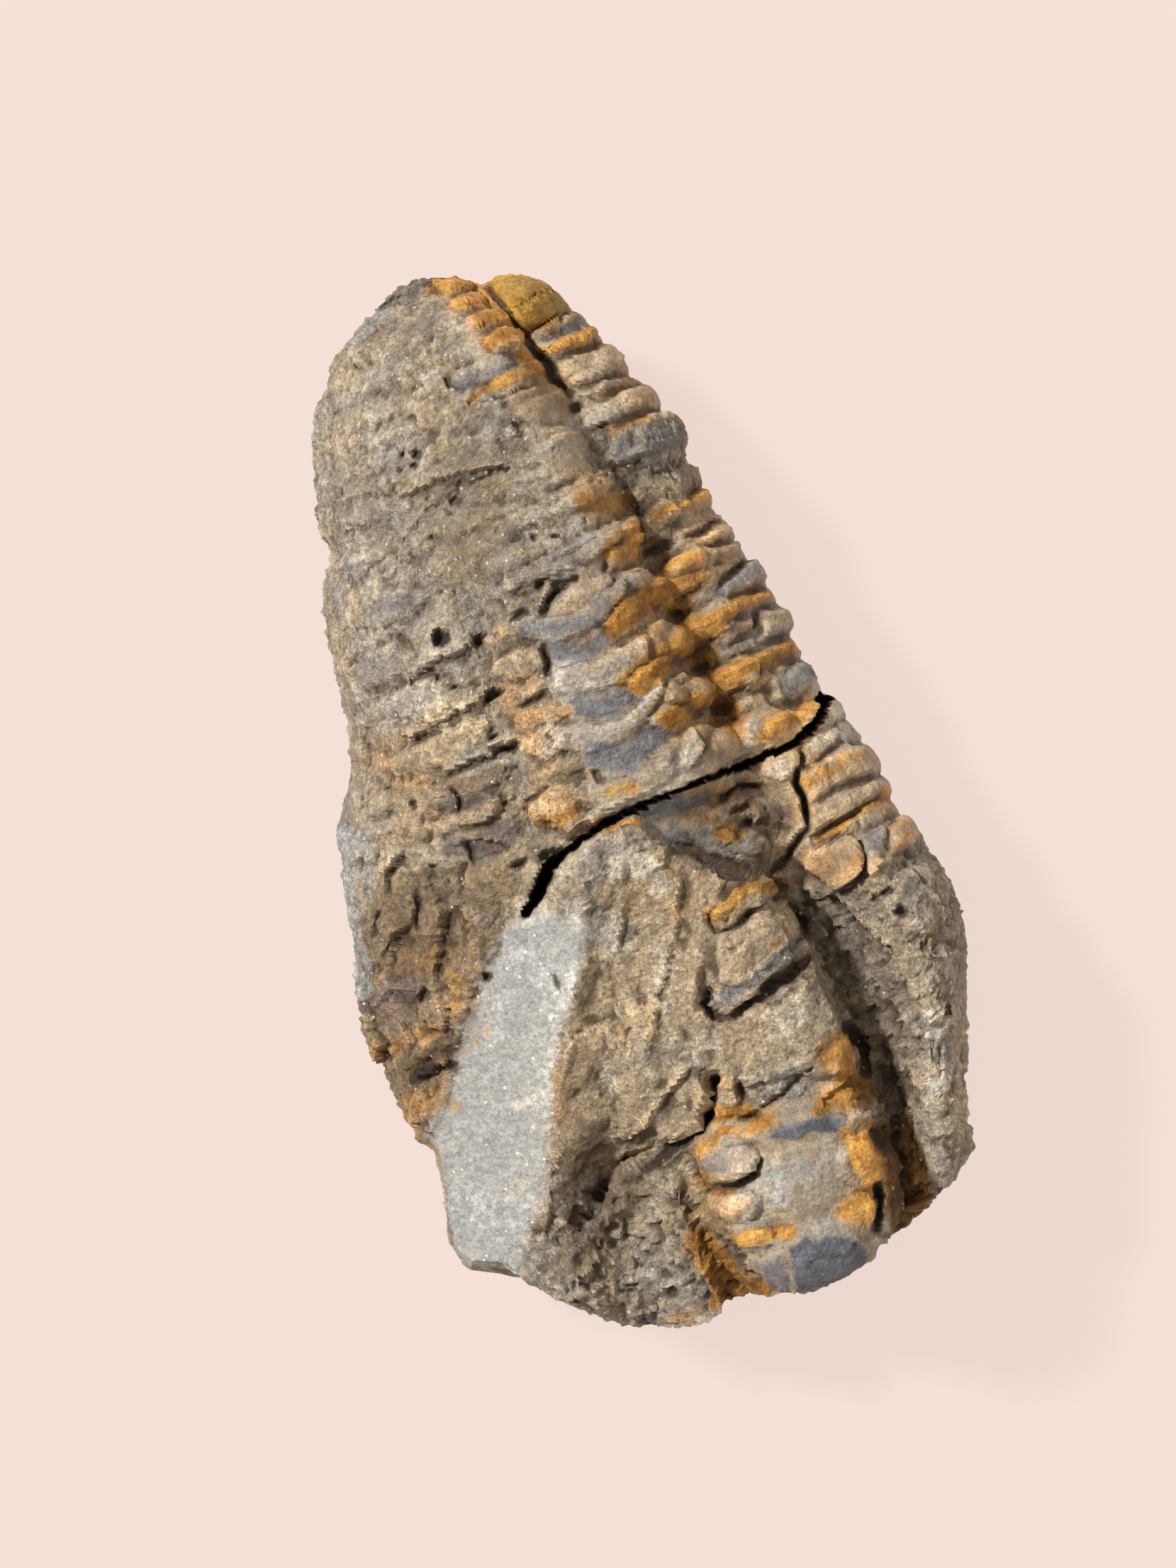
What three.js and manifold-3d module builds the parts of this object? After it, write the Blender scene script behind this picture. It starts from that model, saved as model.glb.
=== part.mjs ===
// A large calymenid trilobite fossil, weathered out of its siltstone lump and lying back up.
// Millimetres. +Z is up, +Y points to the tail and -Y to the head; left and right are -X and +X.
// The stone is one solid. Its closed skin is a sphere's grid, laid over four stretches of each cross row:
// the top from left to right, the right wall down, the base back to the left and the left wall up.
import * as THREE from "three";
import { mergeVertices } from "three/addons/utils/BufferGeometryUtils.js";
import Module from "manifold-3d";

// ---- Grid of the skin ----
const ROWS = 92; // steps from tail to head
const TOP_STEPS = 34; // steps round a cross row: over the top, down or up a wall, and under the base
const WALL_STEPS = 7;
const BASE_STEPS = 4;
const COLUMNS = TOP_STEPS + BASE_STEPS + 2 * WALL_STEPS;
const TOP_END = TOP_STEPS / COLUMNS; // where the top, the right wall and the base end, as shares of a turn
const RIGHT_WALL_END = (TOP_STEPS + WALL_STEPS) / COLUMNS;
const BASE_END = (TOP_STEPS + WALL_STEPS + BASE_STEPS) / COLUMNS;
const END_SHARE = 7 / ROWS; // share of the rows that closes each end of the stone
const END_CROWDING = 0.8; // below 1 these rows crowd towards the rim
// Columns crowd towards the rims, where the back falls away: most at 0, not at all at 0.5.
const RIM_CROWDING = 0.12;

// ---- Outline seen from above: four curves that meet at the corners ----
const TAIL_CURVE = [
  [-12.9, 41], [-10.7, 44.1], [-7.2, 46.6], [-2.1, 49.4], [1.9, 48.7], [3.4, 47.6], [7.2, 46.5],
  [10.3, 44.1], [11.7, 41.8],
];
const LEFT_CURVE = [
  [-12.9, 41], [-14.4, 38], [-15.4, 34.5], [-16.2, 31], [-16, 27.8], [-18.1, 24], [-19.2, 18], [-20.6, 9],
  [-23.2, 4.4], [-24.5, 0], [-26, -6.5], [-27.2, -14.5], [-25.6, -23], [-24.5, -27], [-26, -34.5], [-25, -37.1],
];
const RIGHT_CURVE = [
  [11.7, 41.8], [14.4, 35], [16.4, 30], [16.9, 25], [18.3, 17.5], [20.3, 10.5], [20.8, 4], [22.2, 0],
  [24, -5.5], [24.5, -10.8], [26.4, -16.8], [26.8, -21], [24.9, -28], [22.7, -33.5], [21.6, -37.7],
  [21.6, -41.6],
];
const HEAD_CURVE = [
  [-25, -37.1], [-22, -38.4], [-18.3, -42.8], [-12.7, -47.6], [-7.8, -49.1], [-3.1, -47.8], [2.6, -48.5],
  [8.8, -47.7], [10.5, -46.3], [13.4, -46.9], [17.1, -44.5], [21.6, -41.6],
];
// The far ends of the stone along Y, and how far left and right they reach.
const TAIL_END = { y: 48, left: -9, right: 9 };
const HEAD_END = { y: -48, left: -25, right: 19 };

// ---- Vault of the back: heights along Y, as [y, height] ----
const CREST = [
  [-48, 21], [-44, 24.5], [-38, 26], [-28, 27.5], [-14, 27.5], [-4, 28.5], [6, 29.5], [22, 29.5], [32, 28],
  [39, 25], [44, 21], [48, 13],
];
const LEFT_RIM = [[-48, 13], [-36, 17], [-26, 14], [-15, 10], [5, 10], [25, 11], [48, 12]];
const RIGHT_RIM = [[-48, 13], [-36, 18], [-20, 20], [-8, 18.5], [0, 17], [25, 15], [48, 12]];
const VAULT_POWER = 0.6; // 0.5 is an ellipse; more falls away sooner

// ---- The animal: its axis, as [y, x of the middle] and [y, half width] ----
const AXIS_MIDDLE = [[-48, 5.5], [-32, 5.8], [-15, 4.6], [0, 2.8], [16, 2.8], [30, 2], [46, 1.4]];
const AXIS_HALF_WIDTH = [
  [-12, 9], [0, 9.4], [8, 9], [16, 8.1], [25, 8], [31, 6.9], [37, 6], [40, 5.2], [46, 2.7],
];
const AXIS_HUMP = 3.2; // how far the axis stands above the flanks
const FURROW_HALF_WIDTH = 1.9;
const RIGHT_FURROW_DEPTH = 2.6;
const LEFT_FURROW_DEPTH = 1.1;
// Rear edge of each segment at the right furrow, and how far each edge line is shifted along Y, as [x, shift].
const SEGMENT_EDGES = [-7.3, -2.3, 2.7, 7.3, 12.3, 17.3, 21.7, 26.3, 31.7, 35.6, 39.2, 41.6, 44];
const EDGE_SHIFT = [
  [-20, -3.6], [-13, -2.4], [-6, -1.3], [0, -1.5], [4, -1.9], [8, -0.8], [10.5, 0], [14, -0.3], [21, -0.9],
];
const REAR_EDGE_FALL = 5; // how many times steeper the rear edge falls than the segment rises
const STEP_MEAN = 0.4; // mean height of that sawtooth, taken off it
const AXIS_RING_STEP = 1.9; // height of a segment's rear edge on the axis, on the left flank and on the right
const LEFT_RIB_STEP = 0.9;
const RIGHT_RIB_STEP = 1.8;
const THORAX_FRONT_Y = -3; // where the ribbed thorax ends at the open crack
const CRUSTED_FROM_Y = 22; // above this the left side is buried under grit
const BURIED_HUMP_SHARE = 0.35; // share of the axis hump that still shows under the grit
const LEFT_WORN_OUT_X = -22; // the left ribs fade out between these two
const LEFT_FULL_X = -15;

// ---- Head end ----
// The broken block left of the glabella: two faces meeting in a ridge, then a valley and a slab.
// Each plane is [height at the crest point, rise per mm of x, of y].
const BLOCK_CREST = [-6, -12];
const BLOCK_OUTER_FACE = [29.6, 0.68, 0.06];
const BLOCK_INNER_FACE = [29.6, -0.26, 0.51];
const SLAB_FLANK = [28, 0.7, 0.25];
const SLAB_TOP = [28.6, 0.04, 0.05];
const BLOCK_FLOOR = 19.5; // where the inner face runs out into the hollow
const BLOCK_OUTLINE = [
  [-11.2, -9], [-8.6, -7.6], [-6.3, -5.2], [-3, -3.9], [2, -3], [4.2, -7.4], [7.3, -10.5], [12.4, -12.4],
  [13.4, -20], [14.4, -27], [13.8, -31.5], [0.6, -28], [-0.6, -31.2], [-9.8, -33.4], [-14, -37.6], [-20, -38.6],
  [-27, -38], [-27, -26], [-20, -17.4], [-15, -12.3],
];
const BLOCK_EDGE = 0.9; // half the width of the slope down from the block's edges
const GLABELLA = { middle: [5.6, -39.8], halfWidth: 8.6, halfLength: 9.6, foot: 21.5, rise: 8.2, power: 0.6 };
const NECK = { middle: [6.8, -30], halfWidth: 7.6, halfLength: 3, rise: 27.3, power: 0.12 };
// Swellings: [x, y, half width, half length, rise]
const SWELLINGS = [
  [-0.4, -34.8, 3, 2.3, 1.9], [-0.6, -38.9, 2.3, 1.6, 1.4], [-0.2, -41.9, 2, 1.3, 1.2],
  [12.6, -34.6, 2.8, 2.2, 1.9], [11.4, -38.7, 2.4, 2.6, 1.9], [9.6, -43.4, 2.2, 2.2, 1.4],
  [4.2, -45, 5.6, 3, 1.4],
  [7.4, 43.6, 3.2, 2.6, 1.3], [8.2, -17.8, 4.6, 3, 0.8], [8.6, -13.6, 3.3, 1.3, 0.9],
  [11.2, -7, 3.4, 2.6, 1.4], [17.6, -13.1, 2.3, 1.8, 0.9],
];
// Trenches: a line of points, the half width and the depth
const TRENCHES = [
  {
    line: [[13.6, -14], [15.6, -20], [16.3, -28], [15.6, -36], [13.6, -43], [12.6, -47]],
    halfWidth: 4.4,
    depth: 5.6,
  },
  { line: [[-3.6, -34], [-3.8, -40], [-3, -48]], halfWidth: 2, depth: 2.6 },
  { line: [[-9, -35.5], [-10.5, -41], [-11.5, -48]], halfWidth: 8, depth: 5 },
  { line: [[12.2, -4.6], [12.8, -8.2]], halfWidth: 4.4, depth: 3.4 },
  { line: [[-2, -37.1], [0.6, -37.3], [3, -36]], halfWidth: 0.9, depth: 1.1 },
  { line: [[-9, -33.2], [-5, -32.4], [-1.5, -31.4], [0.4, -29.6], [1.2, -27.9]], halfWidth: 1.1, depth: 2.6 },
  { line: [[3.5, -18.5], [2.6, -21.3], [4.2, -22.9], [9, -21.5], [12.8, -19.8]], halfWidth: 1.1, depth: 1.8 },
  { line: [[-8.5, 26.2], [-4, 28.4], [1.5, 28.8]], halfWidth: 1.2, depth: 1 },
];
const RIGHT_CHEEK = {
  line: [[21.5, -15], [23.2, -21], [22.2, -28], [20.2, -35], [18.6, -41]],
  halfWidth: 5,
  depth: -3,
};

// ---- Walls and base ----
const BASE_TAPER = 0.15; // how much the plan shrinks from the rim to the base
const WALL_BULGE = 0.05; // how much it swells between them
const END_TAPER = 0.2; // how much narrower still the base is at the two ends, which rounds its corners
const END_TAPER_POWER = 8;
const TAIL_POLE = [-1, 46.6, 6]; // middle of each end face
const HEAD_POLE = [-2, -46.4, 8];
const END_POWER = 1.6; // how sharply an end face turns in from the rim
const LUMP = 0.35; // height of the top's own unevenness
const WALL_LUMP = 1;
const FOLDS_MEAN = 4 / Math.PI; // mean of the two creased folds in the unevenness
const WAVE_SHARE = 0.35; // share of the finer waves in it

// ---- The open crack across the thorax: its middle line with the half width at each point, and its floor ----
const CRACK = [
  [-11.2, -9, 0.15], [-8.6, -7.6, 0.9], [-6.3, -5.2, 0.8], [-3, -3.9, 0.6], [0, -3.1, 0.5], [6, -2.6, 0.5],
  [12, -2.3, 0.45], [17.4, -2.2, 0.5], [19.8, -1, 0.8], [21.4, 1.4, 1.1], [25, 4.5, 1.4],
];
const CRACK_FLOOR = 20;
const ABOVE_ALL = 40;

const { lerp, clamp, smoothstep } = THREE.MathUtils;

// Value at `at` on a line through [position, value] stations in rising order.
function valueAt(stations, at) {
  const last = stations.length - 1;
  if (at <= stations[0][0]) return stations[0][1];
  if (at >= stations[last][0]) return stations[last][1];
  const i = stations.findIndex((s) => s[0] > at);
  const [a, b] = [stations[i - 1], stations[i]];
  return lerp(a[1], b[1], (at - a[0]) / (b[0] - a[0]));
}

// Distance from (x, y) to a line through points.
function distanceTo(line, x, y) {
  let nearest = Infinity;
  for (let i = 1; i < line.length; i++) {
    const [ax, ay] = line[i - 1];
    const [dx, dy] = [line[i][0] - ax, line[i][1] - ay];
    const t = clamp(((x - ax) * dx + (y - ay) * dy) / (dx * dx + dy * dy), 0, 1);
    nearest = Math.min(nearest, Math.hypot(x - ax - t * dx, y - ay - t * dy));
  }
  return nearest;
}

// How far (x, y) lies inside a closed outline; negative outside it.
function depthInside(outline, x, y) {
  let within = false;
  outline.forEach(([ax, ay], i) => {
    const [bx, by] = outline[(i + 1) % outline.length];
    if (ay > y !== by > y && x < ax + ((y - ay) / (by - ay)) * (bx - ax)) within = !within;
  });
  return (within ? 1 : -1) * distanceTo([...outline, outline[0]], x, y);
}

// Round hill of height 1 in an ellipse, 0 outside it.
function hill(x, y, middleX, middleY, halfWidth, halfLength) {
  const r = Math.hypot((x - middleX) / halfWidth, (y - middleY) / halfLength);
  return Math.sqrt(Math.max(0, 1 - r * r));
}

// Creased unevenness of the stone, about -1.5 to 1.5 round 0.
function lumps(x, y, z) {
  const fold = (phase) => Math.abs(Math.sin(phase));
  const folds = fold(0.31 * x + 0.12 * y + 0.2 * z + 1.1) + fold(-0.14 * x + 0.26 * y + 0.31 * z + 4.2);
  const waves = Math.sin(1.13 * x - 0.71 * y + 0.9 * z + 2.7) + Math.sin(0.83 * x + 1.27 * y - 0.77 * z + 0.4);
  return folds - FOLDS_MEAN + WAVE_SHARE * waves;
}

const curves = Object.fromEntries(
  Object.entries({ tail: TAIL_CURVE, left: LEFT_CURVE, right: RIGHT_CURVE, head: HEAD_CURVE }).map(
    ([name, points]) => [name, new THREE.SplineCurve(points.map((p) => new THREE.Vector2(...p)))],
  ),
);

// Plan position inside the outline: across from left to right, along from tail to head, each from 0 to 1.
function plan(across, along) {
  const left = curves.left.getPointAt(along);
  const right = curves.right.getPointAt(along);
  const tail = curves.tail.getPointAt(across);
  const head = curves.head.getPointAt(across);
  const [tl, tr] = [TAIL_CURVE[0], TAIL_CURVE.at(-1)];
  const [hl, hr] = [HEAD_CURVE[0], HEAD_CURVE.at(-1)];
  const blend = (k) =>
    lerp(left.getComponent(k), right.getComponent(k), across) +
    lerp(tail.getComponent(k), head.getComponent(k), along) -
    lerp(lerp(tl[k], tr[k], across), lerp(hl[k], hr[k], across), along);
  return [blend(0), blend(1)];
}

// Left and right edges of the stone, as [y, x], for the vault.
const edgeStations = (points) => points.map(([x, y]) => [y, x]).sort((a, b) => a[0] - b[0]);
const LEFT_EDGE = edgeStations([...LEFT_CURVE, [TAIL_END.left, TAIL_END.y], [HEAD_END.left, HEAD_END.y]]);
const RIGHT_EDGE = edgeStations([...RIGHT_CURVE, [TAIL_END.right, TAIL_END.y], [HEAD_END.right, HEAD_END.y]]);

function vault(x, y) {
  const middle = valueAt(AXIS_MIDDLE, y);
  const onLeft = x < middle;
  const edge = valueAt(onLeft ? LEFT_EDGE : RIGHT_EDGE, y);
  const rim = valueAt(onLeft ? LEFT_RIM : RIGHT_RIM, y);
  const out = clamp((x - middle) / (edge - middle), 0, 1);
  return rim + (valueAt(CREST, y) - rim) * Math.pow(1 - out * out, VAULT_POWER);
}

// Sawtooth of the overlapping segments: each rises towards the tail and ends in a sharp rear edge.
function segmentStep(x, y) {
  const shifted = y - valueAt(EDGE_SHIFT, x);
  const i = SEGMENT_EDGES.findIndex((edge) => edge > shifted);
  if (i < 1) return 0;
  const share = (shifted - SEGMENT_EDGES[i - 1]) / (SEGMENT_EDGES[i] - SEGMENT_EDGES[i - 1]);
  return Math.min(share, (1 - share) * REAR_EDGE_FALL) - STEP_MEAN;
}

function thorax(x, y) {
  const middle = valueAt(AXIS_MIDDLE, y);
  const half = valueAt(AXIS_HALF_WIDTH, y);
  const side = (x - middle) / half;
  const front = smoothstep(y, THORAX_FRONT_Y - 1, THORAX_FRONT_Y + 1);
  const clear = Math.max(1 - smoothstep(y, CRUSTED_FROM_Y - 3, CRUSTED_FROM_Y + 3), smoothstep(x, -1, 5));
  const hump = AXIS_HUMP * Math.sqrt(Math.max(0, 1 - side * side)) * lerp(BURIED_HUMP_SHARE, 1, clear);
  const furrow = (edge, depth) => depth * Math.exp(-(((x - edge) / FURROW_HALF_WIDTH) ** 2));
  const furrows = furrow(middle + half, RIGHT_FURROW_DEPTH) + clear * furrow(middle - half, LEFT_FURROW_DEPTH);
  const step = side > 1 ? RIGHT_RIB_STEP : side < -1 ? LEFT_RIB_STEP : AXIS_RING_STEP;
  const worn = smoothstep(x, LEFT_WORN_OUT_X, LEFT_FULL_X);
  return front * (hump - furrows + step * segmentStep(x, y) * clear * worn);
}

function plane([height, riseX, riseY], x, y) {
  return height + riseX * (x - BLOCK_CREST[0]) + riseY * (y - BLOCK_CREST[1]);
}

function block(x, y) {
  const inner = Math.max(plane(BLOCK_INNER_FACE, x, y), BLOCK_FLOOR);
  const slab = Math.min(plane(SLAB_FLANK, x, y), plane(SLAB_TOP, x, y));
  return Math.max(Math.min(plane(BLOCK_OUTER_FACE, x, y), inner), slab);
}

// Height of the top surface over the base.
function topHeight(x, y) {
  let z = vault(x, y) + thorax(x, y);
  z = lerp(z, block(x, y), smoothstep(depthInside(BLOCK_OUTLINE, x, y), -BLOCK_EDGE, BLOCK_EDGE));
  for (const { line, halfWidth, depth } of [...TRENCHES, RIGHT_CHEEK]) {
    z -= depth * (1 - smoothstep(distanceTo(line, x, y), 0, halfWidth));
  }
  const dome = hill(x, y, ...GLABELLA.middle, GLABELLA.halfWidth, GLABELLA.halfLength);
  if (dome > 0) z = Math.max(z, GLABELLA.foot + GLABELLA.rise * Math.pow(dome, GLABELLA.power));
  const neck = hill(x, y, ...NECK.middle, NECK.halfWidth, NECK.halfLength);
  if (neck > 0) z = Math.max(z, NECK.rise * Math.pow(neck, NECK.power));
  for (const [sx, sy, halfWidth, halfLength, rise] of SWELLINGS) {
    z += rise * hill(x, y, sx, sy, halfWidth, halfLength);
  }
  return z + LUMP * lumps(x, y, 0);
}

// How much a row's base is narrowed for being near an end.
function endTaper(along) {
  return END_TAPER * Math.pow(2 * along - 1, END_TAPER_POWER);
}

// Point of a row's wall, `down` from 0 at the rim to 1 at the base.
function wallPoint([x, y], rim, down, along) {
  const uneven = (WALL_LUMP * lumps(x, y, rim * down) * Math.sin(Math.PI * down)) / Math.hypot(x, y);
  const size = 1 + WALL_BULGE * Math.sin(Math.PI * down) - BASE_TAPER * down * down + uneven;
  return [x * (size - endTaper(along) * down * down), y * size, rim * (1 - down)];
}

// Point of one cross row, `turn` from 0 to 1 round it.
function rowPoint(turn, along) {
  const [leftXY, rightXY] = [plan(0, along), plan(1, along)];
  if (turn <= TOP_END) {
    const widest = Math.cos(Math.PI * RIM_CROWDING);
    const swing = Math.cos(Math.PI * lerp(RIM_CROWDING, 1 - RIM_CROWDING, turn / TOP_END));
    const [x, y] = plan((widest - swing) / (2 * widest), along);
    return [x, y, topHeight(x, y)];
  }
  if (turn < RIGHT_WALL_END) {
    return wallPoint(rightXY, topHeight(...rightXY), (turn - TOP_END) / (RIGHT_WALL_END - TOP_END), along);
  }
  if (turn <= BASE_END) {
    const across = (turn - RIGHT_WALL_END) / (BASE_END - RIGHT_WALL_END);
    const [x, y] = plan(1 - across, along);
    return [x * (1 - BASE_TAPER - endTaper(along)), y * (1 - BASE_TAPER), 0];
  }
  return wallPoint(leftXY, topHeight(...leftXY), (1 - turn) / (1 - BASE_END), along);
}

// Point of an end face, from its pole at `step` 0 to the end row at 1. The relief of the rim dies out inwards.
function endPoint(pole, rim, step) {
  const out = Math.pow(step, END_CROWDING);
  const plainRim = Math.min(rim[2], vault(rim[0], rim[1]));
  const [x, z] = [lerp(pole[0], rim[0], out), lerp(pole[2], lerp(plainRim, rim[2], out * out), out)];
  const uneven = WALL_LUMP * lumps(x, pole[1], z) * Math.sin(Math.PI * out);
  return [x, lerp(pole[1], rim[1], Math.pow(out, END_POWER)) + uneven, z];
}

// Point of the whole skin. The rows next to each end shrink onto a pole.
function skinPoint(turn, share) {
  if (share <= 0) return TAIL_POLE;
  if (share >= 1) return HEAD_POLE;
  if (share < END_SHARE) return endPoint(TAIL_POLE, rowPoint(turn, 0), share / END_SHARE);
  if (share > 1 - END_SHARE) return endPoint(HEAD_POLE, rowPoint(turn, 1), (1 - share) / END_SHARE);
  return rowPoint(turn, (share - END_SHARE) / (1 - 2 * END_SHARE));
}

function stoneGeometry() {
  const skin = new THREE.SphereGeometry(1, COLUMNS, ROWS);
  const { position, uv } = skin.attributes;
  for (let i = 0; i < position.count; i++) {
    // three.js counts v from the south pole up, and its first row is the north pole, here the tail
    position.setXYZ(i, ...skinPoint(uv.getX(i), 1 - uv.getY(i)));
  }
  return skin;
}

// The open space of the crack, as a wall of its own plan shape.
function crackGeometry() {
  const sides = [1, -1].map((sign) =>
    CRACK.map(([x, y, halfWidth], i) => {
      const [a, b] = [CRACK[Math.max(0, i - 1)], CRACK[Math.min(CRACK.length - 1, i + 1)]];
      const along = new THREE.Vector2(b[0] - a[0], b[1] - a[1]).normalize();
      return new THREE.Vector2(x - sign * along.y * halfWidth, y + sign * along.x * halfWidth);
    }),
  );
  const shape = new THREE.Shape([...sides[0], ...sides[1].reverse()]);
  const wall = new THREE.ExtrudeGeometry(shape, { depth: ABOVE_ALL - CRACK_FLOOR, bevelEnabled: false });
  return wall.translate(0, 0, CRACK_FLOOR);
}

const wasm = await Module();
wasm.setup();

function solid(geometry) {
  const bare = geometry.clone();
  bare.deleteAttribute("normal");
  bare.deleteAttribute("uv");
  const merged = mergeVertices(bare, 1e-4);
  const vertProperties = new Float32Array(merged.attributes.position.array);
  const triVerts = new Uint32Array(merged.index.array);
  return new wasm.Manifold(new wasm.Mesh({ numProp: 3, vertProperties, triVerts }));
}

function geometryOf(manifold) {
  const { vertProperties, triVerts } = manifold.getMesh();
  const geometry = new THREE.BufferGeometry();
  geometry.setAttribute("position", new THREE.BufferAttribute(vertProperties, 3));
  geometry.setIndex(new THREE.BufferAttribute(triVerts, 1));
  geometry.computeVertexNormals();
  return geometry;
}

const siltstone = new THREE.MeshStandardMaterial({ color: 0x958874, roughness: 0.85, metalness: 0 });
const fossil = new THREE.Mesh(geometryOf(solid(stoneGeometry()).subtract(solid(crackGeometry()))), siltstone);
fossil.name = "trilobite_fossil";

const group = new THREE.Group();
group.add(fossil);
export default group;
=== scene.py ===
"""A weathered trilobite fossil lying on a pale floor, seen from straight above.

The stone's closed skin is a grid: rows run from the tail to the head, and each row goes once round the
stone, over the top, down the right wall, back along the base and up the left wall. Lengths are in
millimetres until the mesh is made.
"""
import math

import bpy
import numpy as np
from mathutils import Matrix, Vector


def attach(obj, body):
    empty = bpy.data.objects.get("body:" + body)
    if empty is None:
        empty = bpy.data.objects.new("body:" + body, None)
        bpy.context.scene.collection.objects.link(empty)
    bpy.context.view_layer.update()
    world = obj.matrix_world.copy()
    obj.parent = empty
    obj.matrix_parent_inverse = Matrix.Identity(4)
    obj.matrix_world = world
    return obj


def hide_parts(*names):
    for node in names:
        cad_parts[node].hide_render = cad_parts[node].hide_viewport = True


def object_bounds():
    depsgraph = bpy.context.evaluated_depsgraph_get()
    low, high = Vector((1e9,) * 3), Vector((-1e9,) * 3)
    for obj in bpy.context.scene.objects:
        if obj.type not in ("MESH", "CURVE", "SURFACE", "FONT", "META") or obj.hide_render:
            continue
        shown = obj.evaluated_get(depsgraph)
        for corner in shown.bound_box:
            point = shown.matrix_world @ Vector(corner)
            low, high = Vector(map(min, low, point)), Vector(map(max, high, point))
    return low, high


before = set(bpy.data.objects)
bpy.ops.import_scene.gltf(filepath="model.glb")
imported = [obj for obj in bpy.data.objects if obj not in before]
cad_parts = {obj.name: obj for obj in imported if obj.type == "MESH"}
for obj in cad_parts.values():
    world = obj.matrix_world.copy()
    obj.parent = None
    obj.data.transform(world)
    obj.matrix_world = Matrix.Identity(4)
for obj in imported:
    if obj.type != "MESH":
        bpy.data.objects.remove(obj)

CAD_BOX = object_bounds()  # of the solid, in metres
MM = 0.001  # metres
INSIDE = np.array([0.05, 0.05, 0])  # the skin stays this far within the solid's box

# ---------------------------------------------------------------- grid of the skin
ROWS = 330  # from tail to head
TOP_COLUMNS = 204  # round each row: over the top, down or up a wall, and under the base
WALL_COLUMNS = 30
BASE_COLUMNS = 8
END_RINGS = 16  # these close each end of the stone
CREASE = math.radians(30)  # edges sharper than this stay crisp
FOOT = 2  # the skin grows calm over this height above the base
RIM_CROWDING = 0.12  # columns crowd towards the rims, where the back falls away

# ---------------------------------------------------------------- main forms
# Outline, vault, axis, block, head and walls have the solid's values. Here the open crack is narrower, the
# block's edges and the rear edges of the segments are sharper, one trench is shallower, and the ring steps
# are lower on the axis and give way to bars, plates and ledges on the flanks. The solid's creased lumps are
# not repeated.
# Outline seen from above: four curves that meet at the corners
TAIL_CURVE = [(-12.9, 41), (-10.7, 44.1), (-7.2, 46.6), (-2.1, 49.4), (1.9, 48.7), (3.4, 47.6),
              (7.2, 46.5), (10.3, 44.1), (11.7, 41.8)]
LEFT_CURVE = [(-12.9, 41), (-14.4, 38), (-15.4, 34.5), (-16.2, 31), (-16, 27.8), (-18.1, 24), (-19.2, 18),
              (-20.6, 9), (-23.2, 4.4), (-24.5, 0), (-26, -6.5), (-27.2, -14.5), (-25.6, -23),
              (-24.5, -27), (-26, -34.5), (-25, -37.1)]
RIGHT_CURVE = [(11.7, 41.8), (14.4, 35), (16.4, 30), (16.9, 25), (18.3, 17.5), (20.3, 10.5), (20.8, 4),
               (22.2, 0), (24, -5.5), (24.5, -10.8), (26.4, -16.8), (26.8, -21), (24.9, -28),
               (22.7, -33.5), (21.6, -37.7), (21.6, -41.6)]
HEAD_CURVE = [(-25, -37.1), (-22, -38.4), (-18.3, -42.8), (-12.7, -47.6), (-7.8, -49.1), (-3.1, -47.8),
              (2.6, -48.5), (8.8, -47.7), (10.5, -46.3), (13.4, -46.9), (17.1, -44.5), (21.6, -41.6)]
TAIL_Y = 48  # the far ends of the stone
HEAD_Y = -48
TAIL_REACH = (-9, 9)  # how far left and right the ends of the stone reach
HEAD_REACH = (-25, 19)
# Heights of the plain back along Y: y, height
CREST = [(-48, 21), (-44, 24.5), (-38, 26), (-28, 27.5), (-14, 27.5), (-4, 28.5), (6, 29.5), (22, 29.5),
         (32, 28), (39, 25), (44, 21), (48, 13)]
LEFT_RIM = [(-48, 13), (-36, 17), (-26, 14), (-15, 10), (5, 10), (25, 11), (48, 12)]
RIGHT_RIM = [(-48, 13), (-36, 18), (-20, 20), (-8, 18.5), (0, 17), (25, 15), (48, 12)]
VAULT_POWER = 0.6  # 0.5 is an ellipse; more falls away sooner
# The animal's axis along Y: y, x of its middle; y, half width
AXIS_MIDDLE = [(-48, 5.5), (-32, 5.8), (-15, 4.6), (0, 2.8), (16, 2.8), (30, 2), (46, 1.4)]
AXIS_HALF_WIDTH = [(-12, 9), (0, 9.4), (8, 9), (16, 8.1), (25, 8), (31, 6.9), (37, 6), (40, 5.2), (46, 2.7)]
AXIS_HUMP = 3.2  # how far the axis stands above the flanks
BURIED_HUMP_SHARE = 0.35  # share of it that still shows under the crust
FURROW_HALF_WIDTH = 1.9
RIGHT_FURROW_DEPTH = 2.6
LEFT_FURROW_DEPTH = 1.1
# Rear edge of each segment, and how far the edges are shifted along Y: x, shift
SEGMENT_EDGES = [-7.3, -2.3, 2.7, 7.3, 12.3, 17.3, 21.7, 26.3, 31.7, 35.6, 39.2, 41.6, 44]
EDGE_SHIFT = [(-20, -3.6), (-13, -2.4), (-6, -1.3), (0, -1.5), (4, -1.9), (8, -0.8), (10.5, 0),
              (14, -0.3), (21, -0.9)]
RIB_STEP = 1.2  # height of a segment's rear edge
REAR_EDGE_FALL = 9  # how many times steeper the rear edge falls than the segment rises
STEP_MEAN = 0.4  # about the mean height of that sawtooth, taken off it
STEPS_BEGIN = (-5, 3)  # the steps fade in over the first stretch of x and out over the second
STEPS_END = (11, 14)
THORAX_FRONT_Y = -3  # where the ringed thorax ends at the open crack
CRUSTED_FROM_Y = 22  # towards the tail from here the left side is buried under a crust
CRUST_EDGE = 3
CRUST_ENDS = (-1, 5)  # and the crust thins out over this stretch of x
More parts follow.
